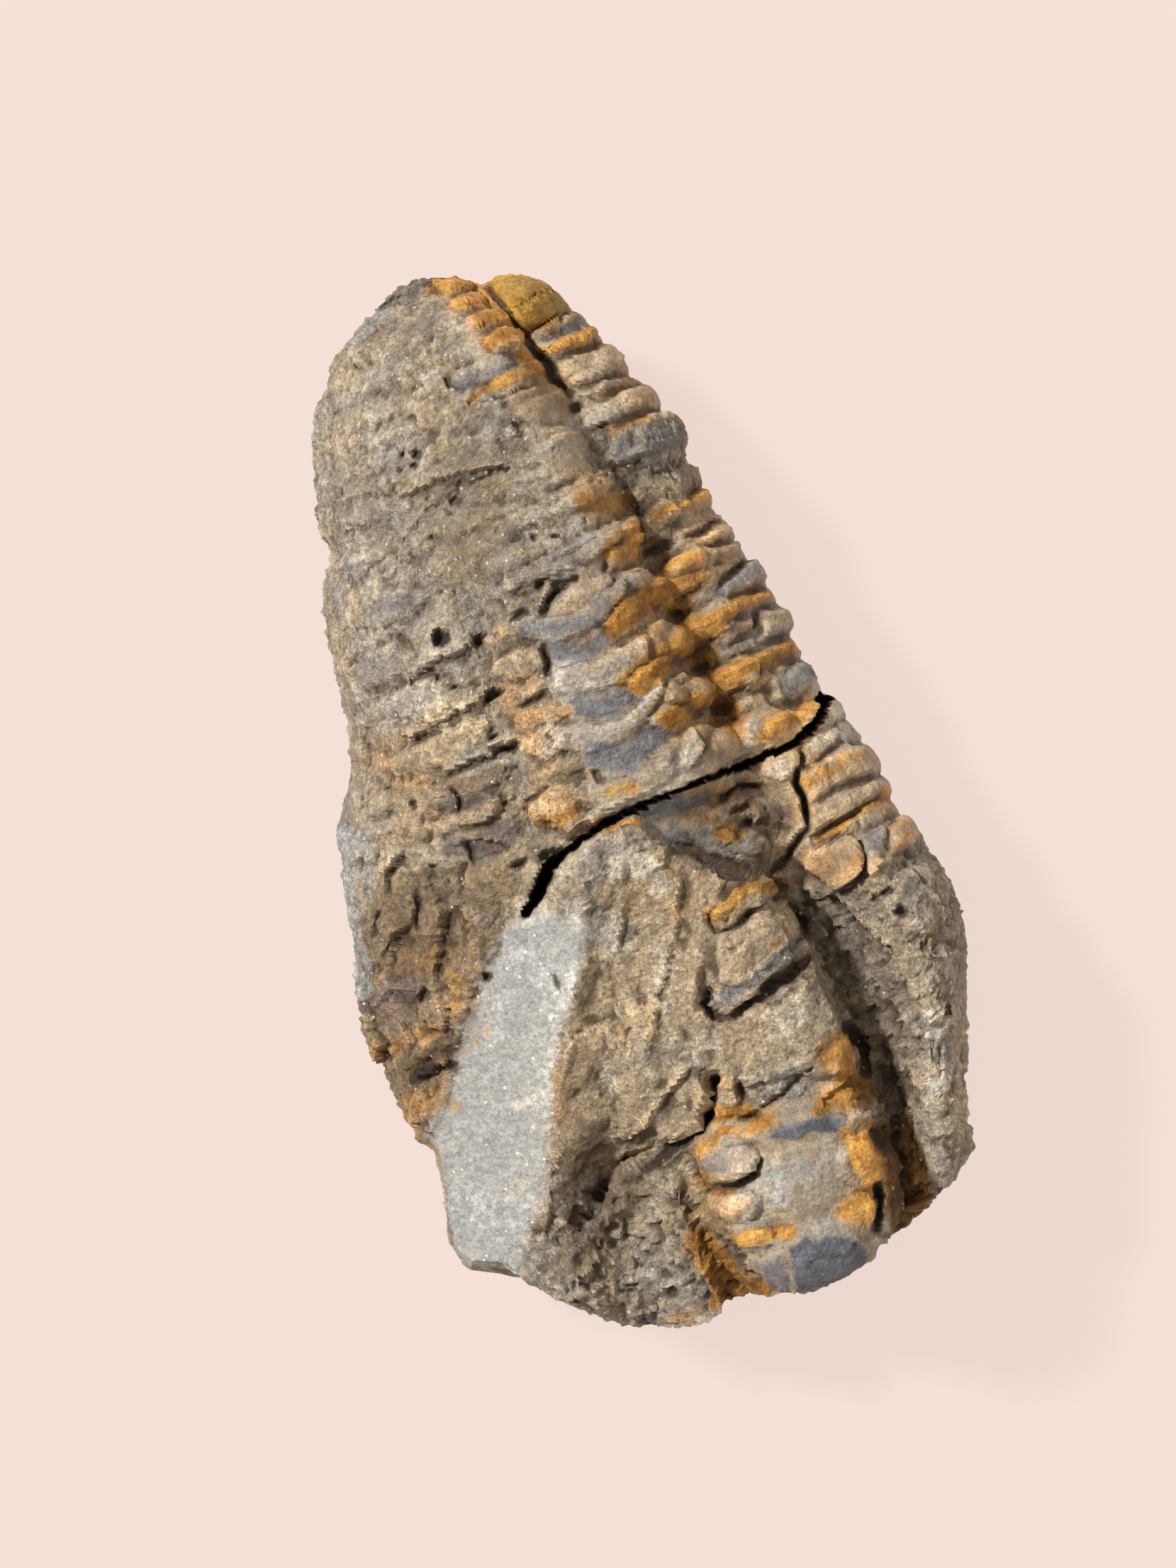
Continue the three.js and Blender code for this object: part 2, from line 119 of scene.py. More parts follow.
# The broken block: each plane is its height at the crest point and its rise per mm of x and of y
BLOCK_CREST = (-6, -12)
BLOCK_OUTER_FACE = (29.6, 0.68, 0.06)
BLOCK_INNER_FACE = (29.6, -0.26, 0.51)
SLAB_FLANK = (28, 0.7, 0.25)
SLAB_TOP = (28.6, 0.04, 0.05)
BLOCK_FLOOR = 19.5  # where the inner face runs out into the hollow
BLOCK_OUTLINE = [(-11.2, -9), (-8.6, -7.6), (-6.3, -5.2), (-3, -3.9), (2, -3), (4.2, -7.4), (7.3, -10.5),
                 (12.4, -12.4), (13.4, -20), (14.4, -27), (13.8, -31.5), (0.6, -28), (-0.6, -31.2),
                 (-9.8, -33.4), (-14, -37.6), (-20, -38.6), (-27, -38), (-27, -26), (-20, -17.4),
                 (-15, -12.3)]
BLOCK_EDGE = 0.5  # half the width of the slope at the block's edges
GLABELLA = dict(middle=(5.6, -39.8), half=(8.6, 9.6), foot=21.5, rise=8.2, power=0.6)
NECK = dict(middle=(6.8, -30), half=(7.6, 3), height=27.3, power=0.12)
# Lobes: middle, half sizes, rise
LOBES = [
    (-0.4, -34.8, 3, 2.3, 1.9), (-0.6, -38.9, 2.3, 1.6, 1.4), (-0.2, -41.9, 2, 1.3, 1.2),
    (12.6, -34.6, 2.8, 2.2, 1.9), (11.4, -38.7, 2.4, 2.6, 1.9), (9.6, -43.4, 2.2, 2.2, 1.4),
    (4.2, -45, 5.6, 3, 1.4), (7.4, 43.6, 3.2, 2.6, 1.3), (8.2, -17.8, 4.6, 3, 0.8),
    (8.6, -13.6, 3.3, 1.3, 0.9), (11.2, -7, 3.4, 2.6, 1.4), (17.6, -13.1, 2.3, 1.8, 0.9),
]
# Trenches: line, half width, depth; a negative depth is a swelling
TRENCHES = [
    ([(13.6, -14), (15.6, -20), (16.3, -28), (15.6, -36), (13.6, -43), (12.6, -47)], 4.4, 5.6),
    ([(-3.6, -34), (-3.8, -40), (-3, -48)], 2, 2.6),
    ([(-9, -35.5), (-10.5, -41), (-11.5, -48)], 8, 5),
    ([(12.2, -4.6), (12.8, -8.2)], 4.4, 3.4),
    ([(-2, -37.1), (0.6, -37.3), (3, -36)], 0.9, 1.1),
    ([(-9, -33.2), (-5, -32.4), (-1.5, -31.4), (0.4, -29.6), (1.2, -27.9)], 1.1, 2.6),
    ([(3.5, -18.5), (2.6, -21.3), (4.2, -22.9), (9, -21.5), (12.8, -19.8)], 0.9, 0.9),
    ([(-8.5, 26.2), (-4, 28.4), (1.5, 28.8)], 1.2, 1),
    ([(21.5, -15), (23.2, -21), (22.2, -28), (20.2, -35), (18.6, -41)], 5, -3),
]
BASE_TAPER = 0.15  # how much the plan shrinks from the rim to the base
WALL_BULGE = 0.05  # how much it swells between them
END_TAPER = 0.2  # how much narrower still the base is at the two ends
END_TAPER_POWER = 8
END_CROWDING = 0.8  # below 1 the rings of an end face crowd towards the rim
TAIL_POLE = (-1, 46.6, 6)  # middle of each end face
HEAD_POLE = (-2, -46.4, 8)
END_POWER = 1.6  # how sharply an end face turns in from the rim
# The open crack: points on its middle line, with its half width there
OPEN_CRACK = [(-10.6, -8.8, 0), (-9.2, -8, 0.2), (-8, -6.8, 0.45), (-6.6, -5.3, 0.35), (-4.6, -4.5, 0.12),
              (-3, -3.8, 0.1), (0, -3.1, 0.08), (6, -2.6, 0.08), (12, -2.3, 0.1), (17.4, -2, 0.12),
              (19.6, -0.9, 0.3), (21.2, 1, 0.4), (25, 3.5, 0.3)]
OPEN_CRACK_DEPTH = 9

# ---------------------------------------------------------------- small forms of the surface
EYE = (-0.875, 0.606, 420)  # where the camera stands; the lists give places as seen from here
BACK_HEIGHT = 28  # on a level this high
PLATE_RISE = 0.6  # share of the plates' heights that is used
CRACK_SLOPE = 0.22  # width of a crack's sides
CRACK_TIP = 0.35  # cracks get shallower towards this share of their depth; their ends keep 0.58 of it
PIT_DEPTH = 0.8  # shares of the pits' depths and of their half sizes that are used
PIT_SPREAD = 1.1
PIT_POWER = 1.2  # above 1 a pit has a soft rim
SWELLING_POWER = 0.8  # below 1 a swelling has full flanks
LEDGE_ENDS = 0.12  # share of a ledge's length over which it fades out at each end
TOP_ENDS = 0.15  # the forms of the top fade out over this depth down the walls
SHELL_ENDS = (0.42, 0.58)  # depths down the walls over which the shell gives way to plain rock
STAINS_END = (0.1, 0.6)  # depths down the walls over which the stains, with their painted highlight and shade, fade out
GRIT_DROP = 0.1  # the skin is sunk by this much, less towards its foot
CAVITY_STEPS = 4  # a point is set against the mean of this many grid steps around it
CAVITY_SPAN = 0.9  # from the deepest hollow to the highest edge that the colours tell apart
DEEP_SPAN = 2.5  # depth at which a crack's painted shade is as dark as it gets
# Rounded bars where the rings run out over the right wall: line, half width, height
RING_BARS = [
    ([(10, 20.2), (13.4, 21)], 1.1, 1.1), ([(11, 14.6), (14.4, 16)], 1.6, 1.7),
    ([(10.8, 9.8), (15, 11)], 1.4, 1.7), ([(11, 5), (15.4, 5.6)], 1.4, 1.6),
    ([(11.6, 0.2), (16, 0.4)], 1.5, 1.5), ([(11, 39.2), (16, 39)], 1, 0.6),
    ([(11.6, 37.7), (16, 37.7)], 0.8, 0.6), ([(13, 35.3), (18, 35)], 1.5, 0.9),
    ([(14, 32.8), (18, 32.6)], 0.5, 0.4), ([(13.6, 31.2), (18, 31)], 1.2, 0.8),
    ([(14.5, 27.4), (20, 26.9)], 2.2, 0.8), ([(15, 23.2), (20, 23)], 1.1, 0.5),
    ([(16.4, 21), (20, 21.2)], 0.8, 0.7), ([(17.6, 18), (22, 17.8)], 1.4, 0.9),
    ([(17.4, 15.6), (22, 15.4)], 0.8, 0.6), ([(18.6, 13.4), (23, 13.2)], 1.4, 0.9),
    ([(18.8, 11.1), (23, 11)], 0.8, 0.6), ([(19.4, 8.8), (24, 8.6)], 1.5, 0.9),
    ([(19.4, 6), (24, 6)], 0.8, 0.6), ([(19.8, 3.4), (25, 3.2)], 1.5, 0.8),
    ([(19.4, -0.2), (25, 0)], 1.3, 1.1), ([(21, -2.6), (25, -2.4)], 1, 0.5),
    ([(22, -5.4), (27, -5.2)], 1.4, 0.7), ([(22.4, -8.2), (27, -8)], 1, 0.6),
    ([(24, -12.6), (27, -12)], 1.4, 0.7),
]
# Swellings: middle, half sizes, turn in degrees, height
SWELLINGS = [
    (-22.2, -16.9, 2.4, 0.8, 25, 0.9), (11.4, -9.2, 2.6, 1.6, 0, 0.7), (23.4, -18.6, 3, 3, 0, 0.8),
    (18.6, -35, 2.2, 5, 8, 0.5), (5, -38.5, 3.6, 4, 0, 0.3), (8.4, 43.2, 3.6, 3.6, 0, 0.35),
    (-11.5, -4.3, 2.6, 1.8, 0, 0.3), (1, -8.2, 2.6, 2.4, 0, 0.3),
]
# Pieces of shell and rock with an edge all round: outline, height, width of the edge, tilt (rise per mm
# of x and of y), stain and its strength
PLATES = [
    # tail: worn rings of the axis, and the smooth dome beside it
    ([(0.4, 47.2), (2.6, 46.9), (4.7, 45.2), (1.2, 45.4)], 0.85, 0.3, (0, 0.1), "ochre", 1.1),
    ([(1.2, 44.6), (3.2, 44.9), (5, 44.5), (5.5, 43.2), (1.8, 43.8)], 0.85, 0.3, (0, 0.1), "ochre", 1.1),
    ([(2.2, 42.9), (4.6, 43), (5.9, 42.4), (6.2, 41.3), (2.6, 41.7)], 0.85, 0.3, (0, 0.1), "ochre", 1.1),
    ([(2.6, 40.8), (5, 41), (6.4, 40.5), (6.8, 39.7), (5.4, 39.1), (3.6, 39.5)], 0.85, 0.3,
      (0, 0.2), "ochre", 1.1),
    ([(4.2, 47.4), (7.2, 47.6), (9.6, 46.4), (11.2, 44.4), (12.2, 40.4), (6.9, 40.1)], 0.5, 0.8,
      (0, 0), "yellow", 1.2),
    ([(-0.8, 38.9), (4.2, 39), (4.8, 38), (3.4, 37.4), (0, 37.3)], 0.4, 0.3, (0, 0.1), "blue", 0.6),
    ([(4.8, 39.2), (6.2, 39.4), (7.8, 36.7), (6.8, 36.3), (5.6, 37.2)], 0.5, 0.4,
      (-0.2, 0.2), "amber", 0.8),
    ([(0.6, 36.6), (5, 37.3), (6.4, 36.7), (6.8, 35.9), (1.4, 35.7)], 0.5, 0.4, (0, 0.1), "ochre", 0.85),
    ([(0.6, 35.2), (7, 35.3), (8.4, 34.2), (9.2, 32.8), (8.8, 32.2), (6, 32), (2, 33.8)], 0.6, 0.5,
      (-0.05, 0.1), "brown", 0.6),
    ([(5, 31.4), (7.8, 31.4), (8, 30.4), (6.6, 29.7), (5.2, 30)], 0.5, 0.4, (0, 0.15), "tan", 0.8),
    ([(7.3, 39.8), (11.4, 40.2), (12, 39.7), (7.5, 39.1)], 0.5, 0.3, (0, 0.1), "tan", 0.7),
    ([(7.5, 38.6), (12.7, 38.6), (12.9, 37.5), (10, 37.1), (7.3, 37.9)], 0.9, 0.5, (0, 0.2), "ochre", 1.1),
    ([(8.4, 36.6), (12.4, 36.8), (13.8, 36), (14, 34.7), (12, 34), (9.6, 34.1), (8.6, 34.6)], 1, 0.5,
      (0, 0.05), "tan", 0.6),
    ([(9.6, 33.3), (12.4, 33.7), (15, 33), (9.8, 32.7)], 1.2, 0.8, (0, 0.2), "blue", 0.4),
    ([(8.2, 31.6), (9.6, 32.2), (11.6, 31.9), (15.2, 32.3), (15.6, 31), (14, 30.3), (9, 30.1)], 0.8, 0.4,
      (0, 0.1), "pale", 0.3),
    ([(11, 29.6), (16, 29.4), (17, 28), (17, 26), (11, 26.2), (10.4, 27.6)], 1.1, 0.7,
      (0, 0.08), "blue", 0.15),
    # axis: each ring has a crisp rear edge and an ochre slope at its right end
    ([(4, 27), (5.4, 27.2), (7, 27), (7.2, 26.6), (5, 26.4)], 0.5, 0.3, (0, 0.1), "blue", 0.5),
    ([(-1.4, 25), (8.2, 26.4), (10, 26.1), (10, 24.6), (7, 23.8), (-1, 23.8)], 0.7, 0.35,
      (0, 0.08), "blue", 0.25),
    ([(-2, 20.4), (10, 21.8), (10.4, 20.6), (5, 19), (-2.4, 18.9)], 0.9, 0.3, (0, 0.1), "blue", 0.35),
    ([(7.4, 19.6), (10.2, 20.1), (10.7, 18.6), (9, 17.7), (7.2, 17.8)], 0.6, 0.5,
      (-0.15, 0.2), "ochre", 0.9),
    ([(0.5, 16), (2.2, 17.2), (5.2, 17.6), (6.8, 17.3), (7, 16.6), (5.4, 15.3), (2.6, 15.3)], 0.6, 0.25,
      (0, 0.1), "tan", 0.9),
    ([(-2.5, 15.8), (-1.4, 16.1), (2.4, 15.1), (5.2, 15.5), (8.3, 17.3), (9, 17.1), (7.6, 15.3),
      (5, 13.8), (2.6, 13.2), (0.4, 13.4), (-2.4, 14.6)], 0.9, 0.35, (0, 0.12), "blue", 0.7),
    ([(8.4, 17.2), (9.4, 17.4), (10.4, 16.4), (10.8, 15.2), (10, 14.8), (8.4, 15.6)], 0.9, 0.4,
      (-0.1, 0.1), "tan", 0.6),
    ([(5, 13.6), (7.4, 15), (10, 15.3), (10.8, 14.4), (10.2, 13), (6.4, 11.9), (5.4, 12.6)], 0.5, 0.35,
      (-0.25, 0.3), "amber", 1.1),
    ([(0, 11.8), (5.4, 11), (8.6, 11.6), (7.8, 9.4), (5, 7.9), (0.6, 8.4), (-1, 9.4)], 0.7, 0.5,
      (0, 0.1), "blue", 0.3),
    ([(8.6, 11.8), (9.8, 12.2), (11, 11.4), (11.6, 9.8), (10.6, 8.8), (8.6, 9.3)], 0.9, 0.45,
      (-0.1, 0.05), "brown", 0.7),
    ([(5.3, 7.9), (6.4, 8.5), (8.4, 9.2), (10.8, 9), (10.8, 8.1), (6.8, 6.1), (5.8, 6.4)], 0.5, 0.35,
      (-0.25, 0.3), "amber", 1.1),
    ([(-1, 5.8), (0.4, 5.9), (2.6, 5), (4.6, 5.2), (8.4, 7.3), (7.6, 5.4), (3, 2.8), (0.4, 3.1),
      (-3, 4.4)], 0.7, 0.5, (0, 0.1), "blue", 0.25),
    ([(7.7, 5), (8.8, 6.8), (10.2, 7.2), (12.2, 4.9), (10.4, 4.4)], 0.9, 0.45, (-0.1, 0.05), "brown", 0.7),
    ([(6, 4.2), (7.6, 4.9), (11.4, 3.9), (10, 2.8), (8.2, 2.2), (6.9, 2.6)], 0.5, 0.35,
      (-0.25, 0.3), "amber", 1.1),
    ([(-2, 0), (4.6, 0), (6.4, 0.4), (7, -0.6), (6, -1.4), (-1, -2.2), (-2.2, -1.4)], 0.6, 0.3,
      (0, 0.1), "brown", 0.5),
    ([(5.2, 0.6), (6.6, 1.4), (7.1, 0.8), (6, 0.1)], 0.4, 0.2, (0, 0), "tan", 0.9),
    ([(8.6, 1.8), (9.4, 2.3), (9.8, 0.4), (8.8, -0.7), (7.6, -1), (7.4, -0.2)], 0.9, 0.2,
      (0.2, -0.1), "pale", 0.7),
    ([(9.7, 2.5), (14.6, 1), (14.4, -1.8), (9, -2), (8.2, -1.3), (9.9, 0.2)], 0.7, 0.6,
      (-0.08, 0.08), "purple", 0.45),
    # left of the axis: knobs and worn ribs
    ([(-5.6, 15.6), (-4.2, 16.4), (-2.8, 16.1), (-2.6, 14.6), (-4, 14), (-5.6, 14.4)], 0.5, 0.4,
      (-0.1, 0.1), "orange", 0.5),
    ([(-4.8, 13.6), (-2.4, 13.9), (-1.1, 13.2), (-0.9, 12.2), (-1.6, 11.4), (-4.4, 11.4),
      (-5.4, 12.4)], 0.8, 0.4, (-0.05, 0.1), "tan", 0.9),
    ([(-6, 10.4), (-4.4, 11), (-1.8, 11.1), (-1.4, 9.8), (-5.6, 9)], 0.5, 0.4, (-0.1, 0.1), "orange", 0.5),
    ([(-5.2, 8.2), (-3.4, 8.6), (-0.6, 8.3), (-0.4, 7), (-4.8, 6.8)], 0.5, 0.35,
      (-0.1, 0.1), "orange", 0.6),
    ([(-4.2, 6.2), (-2.4, 6.6), (-0.8, 6), (-1.4, 4.2), (-3.4, 3.8), (-5, 4.6)], 0.5, 0.3,
      (0, 0.1), "pale", 0.5),
    ([(-5, 3), (-2.4, 3.5), (-0.8, 3), (-1, 1.8), (-5, 1.9)], 0.5, 0.35, (0, 0.1), "brown", 0.8),
    ([(-6, 1), (-3.4, 1.4), (-2, 1), (-2, -0.8), (-4, -1.4), (-6.4, -1)], 0.7, 0.4,
      (-0.1, 0.1), "orange", 0.55),
    ([(-2, 0.8), (-1, 1.1), (-0.4, 0.4), (-0.8, -1.2), (-1.8, -1)], 0.5, 0.2, (0, 0), "purple", 0.7),
    ([(-13.6, 30.2), (-11, 30.6), (-8.8, 29.8), (-10, 28.8), (-13, 28.6)], 0.4, 0.4,
      (0, 0.1), "blue", 0.5),
    ([(-15.8, 26), (-13.6, 26.6), (-12.2, 25.4), (-13.6, 24.3), (-15.6, 24.4)], 0.4, 0.4,
      (0, 0.1), "blue", 0.5),
    ([(-15.4, 20.4), (-12, 22.9), (-10, 22.2), (-8.4, 21), (-10.4, 19.8), (-13.6, 19.4)], 0.8, 0.4,
      (0, 0.12), "blue", 0.5),
    ([(-17.4, 17), (-15, 18.1), (-12.4, 17.8), (-11.6, 16), (-13.8, 15), (-16.8, 14.8)], 0.7, 0.4,
      (0, 0.12), "blue", 0.45),
    ([(-16.4, 13.4), (-12, 14.4), (-9.4, 13.4), (-10.4, 11.2), (-13, 10.8), (-15.8, 11)], 0.9, 0.6,
      (0, 0.1), "pale", 0.8),
    ([(-17.6, 8.2), (-8, 9.6), (-6.6, 8.4), (-9, 6.8), (-12.4, 6.2), (-16.4, 6.6)], 0.9, 0.6,
      (0, 0.12), "tan", 1),
    ([(-14.8, 4.6), (-7.8, 5.4), (-6, 4.6), (-7.6, 3.2), (-9.8, 3), (-14, 3.8)], 0.6, 0.3,
      (0, 0.12), "brown", 0.9),
    ([(-16.4, 1.8), (-9, 2.2), (-7.4, 1.8), (-11, 0.6), (-15, 0.6)], 0.7, 0.25, (0, 0.2), "tan", 0.9),
    ([(-20.4, 3), (-17.6, 3.8), (-15.4, 2), (-15.8, -0.6), (-18.2, -0.4), (-20, 1)], 0.3, 0.6,
      (-0.1, 0.05), "orange", 0.35),
    ([(-15.6, -0.6), (-8.4, 0.4), (-7.6, -1), (-9, -2.4), (-12.8, -2.8), (-15, -2)], 0.4, 0.4,
      (0.05, -0.05), "purple", 0.9),
    ([(-24.4, 2.6), (-22, 3.6), (-20.6, 1.4), (-20.8, -2.2), (-22.6, -4.4), (-24.6, -4),
      (-25.4, -1)], 0.4, 0.5, (-0.1, 0), "pale", 0.5),
    ([(-24.6, -5), (-22, -4.6), (-20.4, -3.2), (-20.6, -7), (-22.6, -8.4), (-25.2, -9)], 0.4, 0.4,
      (-0.1, 0.1), "pale", 0.25),
    ([(-23.6, -9.6), (-21, -8), (-19.8, -9), (-20.4, -12), (-23, -13), (-25, -12)], 0.4, 0.5,
      (0, 0.1), "purple", 0.6),
    ([(-19.4, -12.6), (-17.6, -12.2), (-16.4, -13.4), (-18, -15), (-20, -15)], 0.6, 0.4,
      (0, 0.1), "orange", 0.5),
    ([(-23.8, -17.6), (-19.4, -15.8), (-18.8, -16.8), (-23, -18.6)], 0.6, 0.25, (0, 0.1), "pale", 0.2),
    ([(-24.6, -20.4), (-20.2, -18.4), (-21, -20.6), (-23.4, -23), (-25, -23)], 0.5, 0.4,
      (0, 0.1), "ochre", 0.45),
    # right flank: worn lobes of the rings
    ([(11.6, 20.4), (16.6, 21.8), (17.4, 21.4), (17.2, 20.7)], 0.7, 0.5, (0, 0.2), "ochre", 1),
    ([(13.6, 18.8), (15, 19.3), (17.6, 19), (17, 18.5), (14, 18.2)], 0.6, 0.3, (0, 0.2), "tan", 0.8),
    ([(12.8, 18), (14.2, 18.4), (15.4, 18), (17.8, 18.2), (18.8, 17.4), (18.4, 16.9),
      (13.4, 17.2)], 1, 0.7, (0, 0.1), "pale", 0.35),
    ([(11.4, 16.4), (14.2, 17.1), (15, 16.4), (14.6, 15.3), (12.6, 15.4)], 1.2, 0.8,
      (-0.05, 0.1), "orange", 0.8),
    ([(15, 16.8), (18.4, 16.7), (18.6, 15.6), (15, 15.4)], 1.1, 0.8, (0, 0.1), "brown", 0.6),
    ([(13.8, 15), (18.2, 15.1), (18.4, 14.7), (16.4, 14.1), (15.4, 13.3), (14.6, 13.7)], 0.5, 0.3,
      (0, 0.2), "orange", 0.8),
    ([(15.6, 13), (16.6, 13.9), (19.2, 14.8), (20, 13.6), (19.4, 12.3), (15.8, 12.2)], 1.2, 0.6,
      (0.05, 0.1), "blue", 0.6),
    ([(10.6, 12.8), (11.6, 13.3), (14.4, 13.3), (15, 12.6), (12, 12.2)], 0.4, 0.3,
      (-0.1, 0.2), "blue", 0.8),
    ([(11.8, 11), (18, 11.9), (19.4, 11.4), (19.6, 10.7), (12, 10.1)], 0.7, 0.6, (0, 0.2), "ochre", 1.1),
    ([(13.6, 9.4), (15.6, 10.1), (17.4, 9.8), (17, 8.9), (15, 8.4), (13.8, 8.7)], 1.1, 0.6,
      (0, 0.1), "purple", 0.9),
    ([(18.2, 9.8), (20.4, 9.6), (20.8, 8), (19.6, 7.3), (17.6, 7.6)], 1.1, 0.6, (-0.05, 0), "brown", 0.5),
    ([(14, 7.8), (17.2, 8.2), (17.2, 7.2), (14.4, 7)], 0.5, 0.25, (0, 0.1), "blue", 0.7),
    ([(12.8, 5.4), (14, 6.3), (19.8, 6.9), (20, 5.8)], 0.7, 0.6, (0, 0.2), "ochre", 1.1),
    ([(14.8, 4.5), (17.4, 4.9), (17.8, 4.2), (16, 3.5), (14.8, 3.7)], 0.6, 0.25, (0, 0.1), "orange", 0.7),
    ([(16.8, 3.8), (18.4, 4.9), (20.8, 4.5), (21, 2.6), (19.6, 1.7), (17, 2.1)], 1.1, 0.7,
      (-0.05, 0.05), "blue", 0.7),
    ([(13.6, 3.2), (16.2, 3), (16.6, 1.7), (14, 1.5), (12.8, 2.2)], 0.9, 0.7, (0, 0.1), "brown", 0.7),
    ([(15, 0.4), (16.4, 1.1), (20, 0.9), (20.4, -0.4), (19, -1.7), (15.4, -1.5), (14.8, -0.6)], 1.4, 0.9,
      (0, 0.1), "orange", 0.75),
    # right of the open crack: rings, the lump of the eye and the loose pieces
    ([(14.6, -2.6), (17.5, -2.4), (17.7, -3), (17.2, -4.1), (15.4, -4.7), (13.7, -3.6)], 0.7, 0.25,
      (0, 0), "pale", 0.5),
    ([(18, -2.6), (20.4, -1.4), (21.2, -1.8), (21.4, -2.8), (18.2, -4.1)], 0.7, 0.25, (0, 0), "pale", 0.5),
    ([(17, -4.7), (21.6, -3.4), (22.8, -4.4), (23, -6.6), (19.6, -6.7), (17.2, -7.4)], 0.9, 0.5,
      (0, 0.15), "orange", 0.6),
    ([(17, -7.9), (19.4, -7.3), (22.9, -7.3), (23.2, -8.6), (17, -9.9), (16.6, -9)], 0.8, 0.4,
      (0, 0.15), "tan", 0.8),
    ([(16.1, -10.8), (20, -9.8), (20.4, -10.5), (20, -11)], 0.6, 0.25, (0, 0.1), "orange", 0.9),
    ([(20.5, -9.5), (23.4, -8.9), (23.6, -10), (22.6, -10.8), (20.7, -11)], 0.6, 0.3,
      (0, 0.1), "tan", 0.8),
    ([(14.8, -12.2), (15.6, -11.3), (19.6, -11.3), (19.8, -14.6), (17, -15.1)], 0.9, 0.25,
      (0, 0.08), "tan", 0.6),
    ([(20.2, -11.6), (22.4, -11.2), (22.6, -12), (22, -13.4), (20.4, -14.5)], 0.7, 0.3,
      (0, 0.1), "blue", 0.8),
    ([(22.9, -11.8), (24, -11), (25, -11.4), (25.2, -13), (24, -14), (22.5, -13.9)], 0.8, 0.4,
      (0, 0.1), "ochre", 0.5),
    ([(12.1, -12.3), (13.6, -12.3), (15, -13.4), (15.1, -14.6), (12.4, -14.2)], 0.7, 0.4,
      (-0.1, 0.1), "purple", 0.6),
    ([(0.6, -3.3), (8.8, -3.2), (8.4, -4), (4, -4.2), (0.8, -3.9)], 0.4, 0.3, (0, 0.1), "blue", 0.9),
    ([(8.6, -3.5), (12.8, -3), (14.6, -4.6), (11.4, -3.8), (10.4, -4.2)], 0.7, 0.25,
      (0, 0.1), "ochre", 0.6),
    ([(10.4, -4.7), (11.2, -4), (14, -5.1), (11, -5.5)], 0.5, 0.25, (0.1, 0.1), "purple", 0.9),
    ([(8, -6.2), (13, -5.5), (13.4, -6.4), (10, -6.3), (8.4, -7)], 0.4, 0.2, (0, 0), "ochre", 0.8),
    ([(8.5, -7.2), (9.4, -7), (9.9, -7.6), (9.5, -8.5), (8.8, -8.2)], 0.9, 0.2, (0, 0), "orange", 1),
    ([(11.6, -6.2), (13, -6.2), (13.4, -7), (11.8, -7.3)], 0.9, 0.25, (0, 0), "blue", 0.8),
    ([(9.6, -8.6), (10.6, -7.9), (12.6, -7.7), (14.4, -8.4), (15.2, -9.6), (11.6, -11.6), (10, -11),
      (9.4, -10)], 0.9, 0.6, (-0.1, 0.1), "brown", 0.6),
    ([(10.2, -8.8), (11.2, -8.6), (11.7, -9.6), (11.2, -10.4), (10.4, -9.8)], 0.9, 0.2,
      (0, 0), "pale", 0.8),
    ([(5.6, -6), (6.6, -5.4), (8, -5.4), (8.6, -6.6), (8.4, -8.2), (7, -8)], 0.4, 0.3,
      (0.05, 0.05), "blue", 0.7),
    ([(4.3, -6.4), (6.2, -7.5), (7, -8.6), (9.6, -9.9), (10.2, -11.4), (9.4, -11.8),
      (8, -11.4)], -0.9, 0.3, (0, 0), "slate", 0.9),
    ([(5.2, -14.6), (5.8, -13.4), (9.6, -12.1), (11.4, -12.3), (12.2, -13.4), (12, -14),
      (6, -15.6)], 0.9, 0.4, (0, 0.1), "orange", 0.5),
    ([(5.8, -13.5), (9.6, -12.2), (11.4, -12.4), (11.8, -13), (6.6, -14.1)], 0.3, 0.3,
      (0, 0.1), "ochre", 0.9),
    ([(5.4, -15.6), (8.2, -15.4), (10.6, -14.3), (12.2, -14.6), (12.9, -16), (12.9, -19.6), (4, -22.5),
      (2.8, -21.4), (4.4, -19.2)], 1.1, 0.4, (0, 0), "tan", 0.9),
    ([(9.6, -18.4), (10.4, -17.4), (12.4, -17.2), (10.6, -18.5)], 0.1, 0.2, (0, 0), "ochre", 0.8),
    ([(3.4, -20.3), (8.4, -19.9), (12.4, -17.9), (12.6, -18.6), (12, -19.6), (9.6, -20.8), (4, -22.2),
      (3, -21.2)], -0.45, 0.2, (0, 0), "blue", 1),
    # the sandy slab: flaky facets
    ([(-7.8, -29.6), (-6.2, -27.6), (-3.4, -26.2), (-1, -25.8), (1, -26.6), (0.8, -28), (-0.4, -30),
      (-5.4, -32.2), (-9.4, -33)], -0.7, 0.4, (-0.05, 0.1), "tan", 0.3),
    ([(0.2, -29.9), (1.2, -28), (2.8, -28.4), (2.5, -31), (0.4, -31.2)], 0.8, 0.2, (0, 0.1), "tan", 0.9),
    ([(3.4, -28.2), (6, -27.9), (10.4, -28.4), (9.4, -29.4), (5.2, -31), (3.6, -31)], 0.12, 0.25,
      (0, 0), "pale", 0.4),
    ([(5.2, -31.4), (9.2, -29.9), (11.4, -30.6), (11, -32.4), (8.6, -33.2), (5.4, -33.2),
      (4.4, -32.2)], 0.12, 0.25, (0, 0), "blue", 0.4),
    ([(10.8, -29.2), (12.6, -28), (14, -28.2), (14.2, -30.6), (13.2, -31.8), (11.2, -31)], 0.35, 0.3,
      (0, 0.1), "orange", 0.8),
    ([(9.8, -33), (11.4, -32.2), (13.6, -32.2), (14.2, -33), (11, -33.4)], 0.3, 0.25,
      (0, 0), "ochre", 1.1),
    # glabella
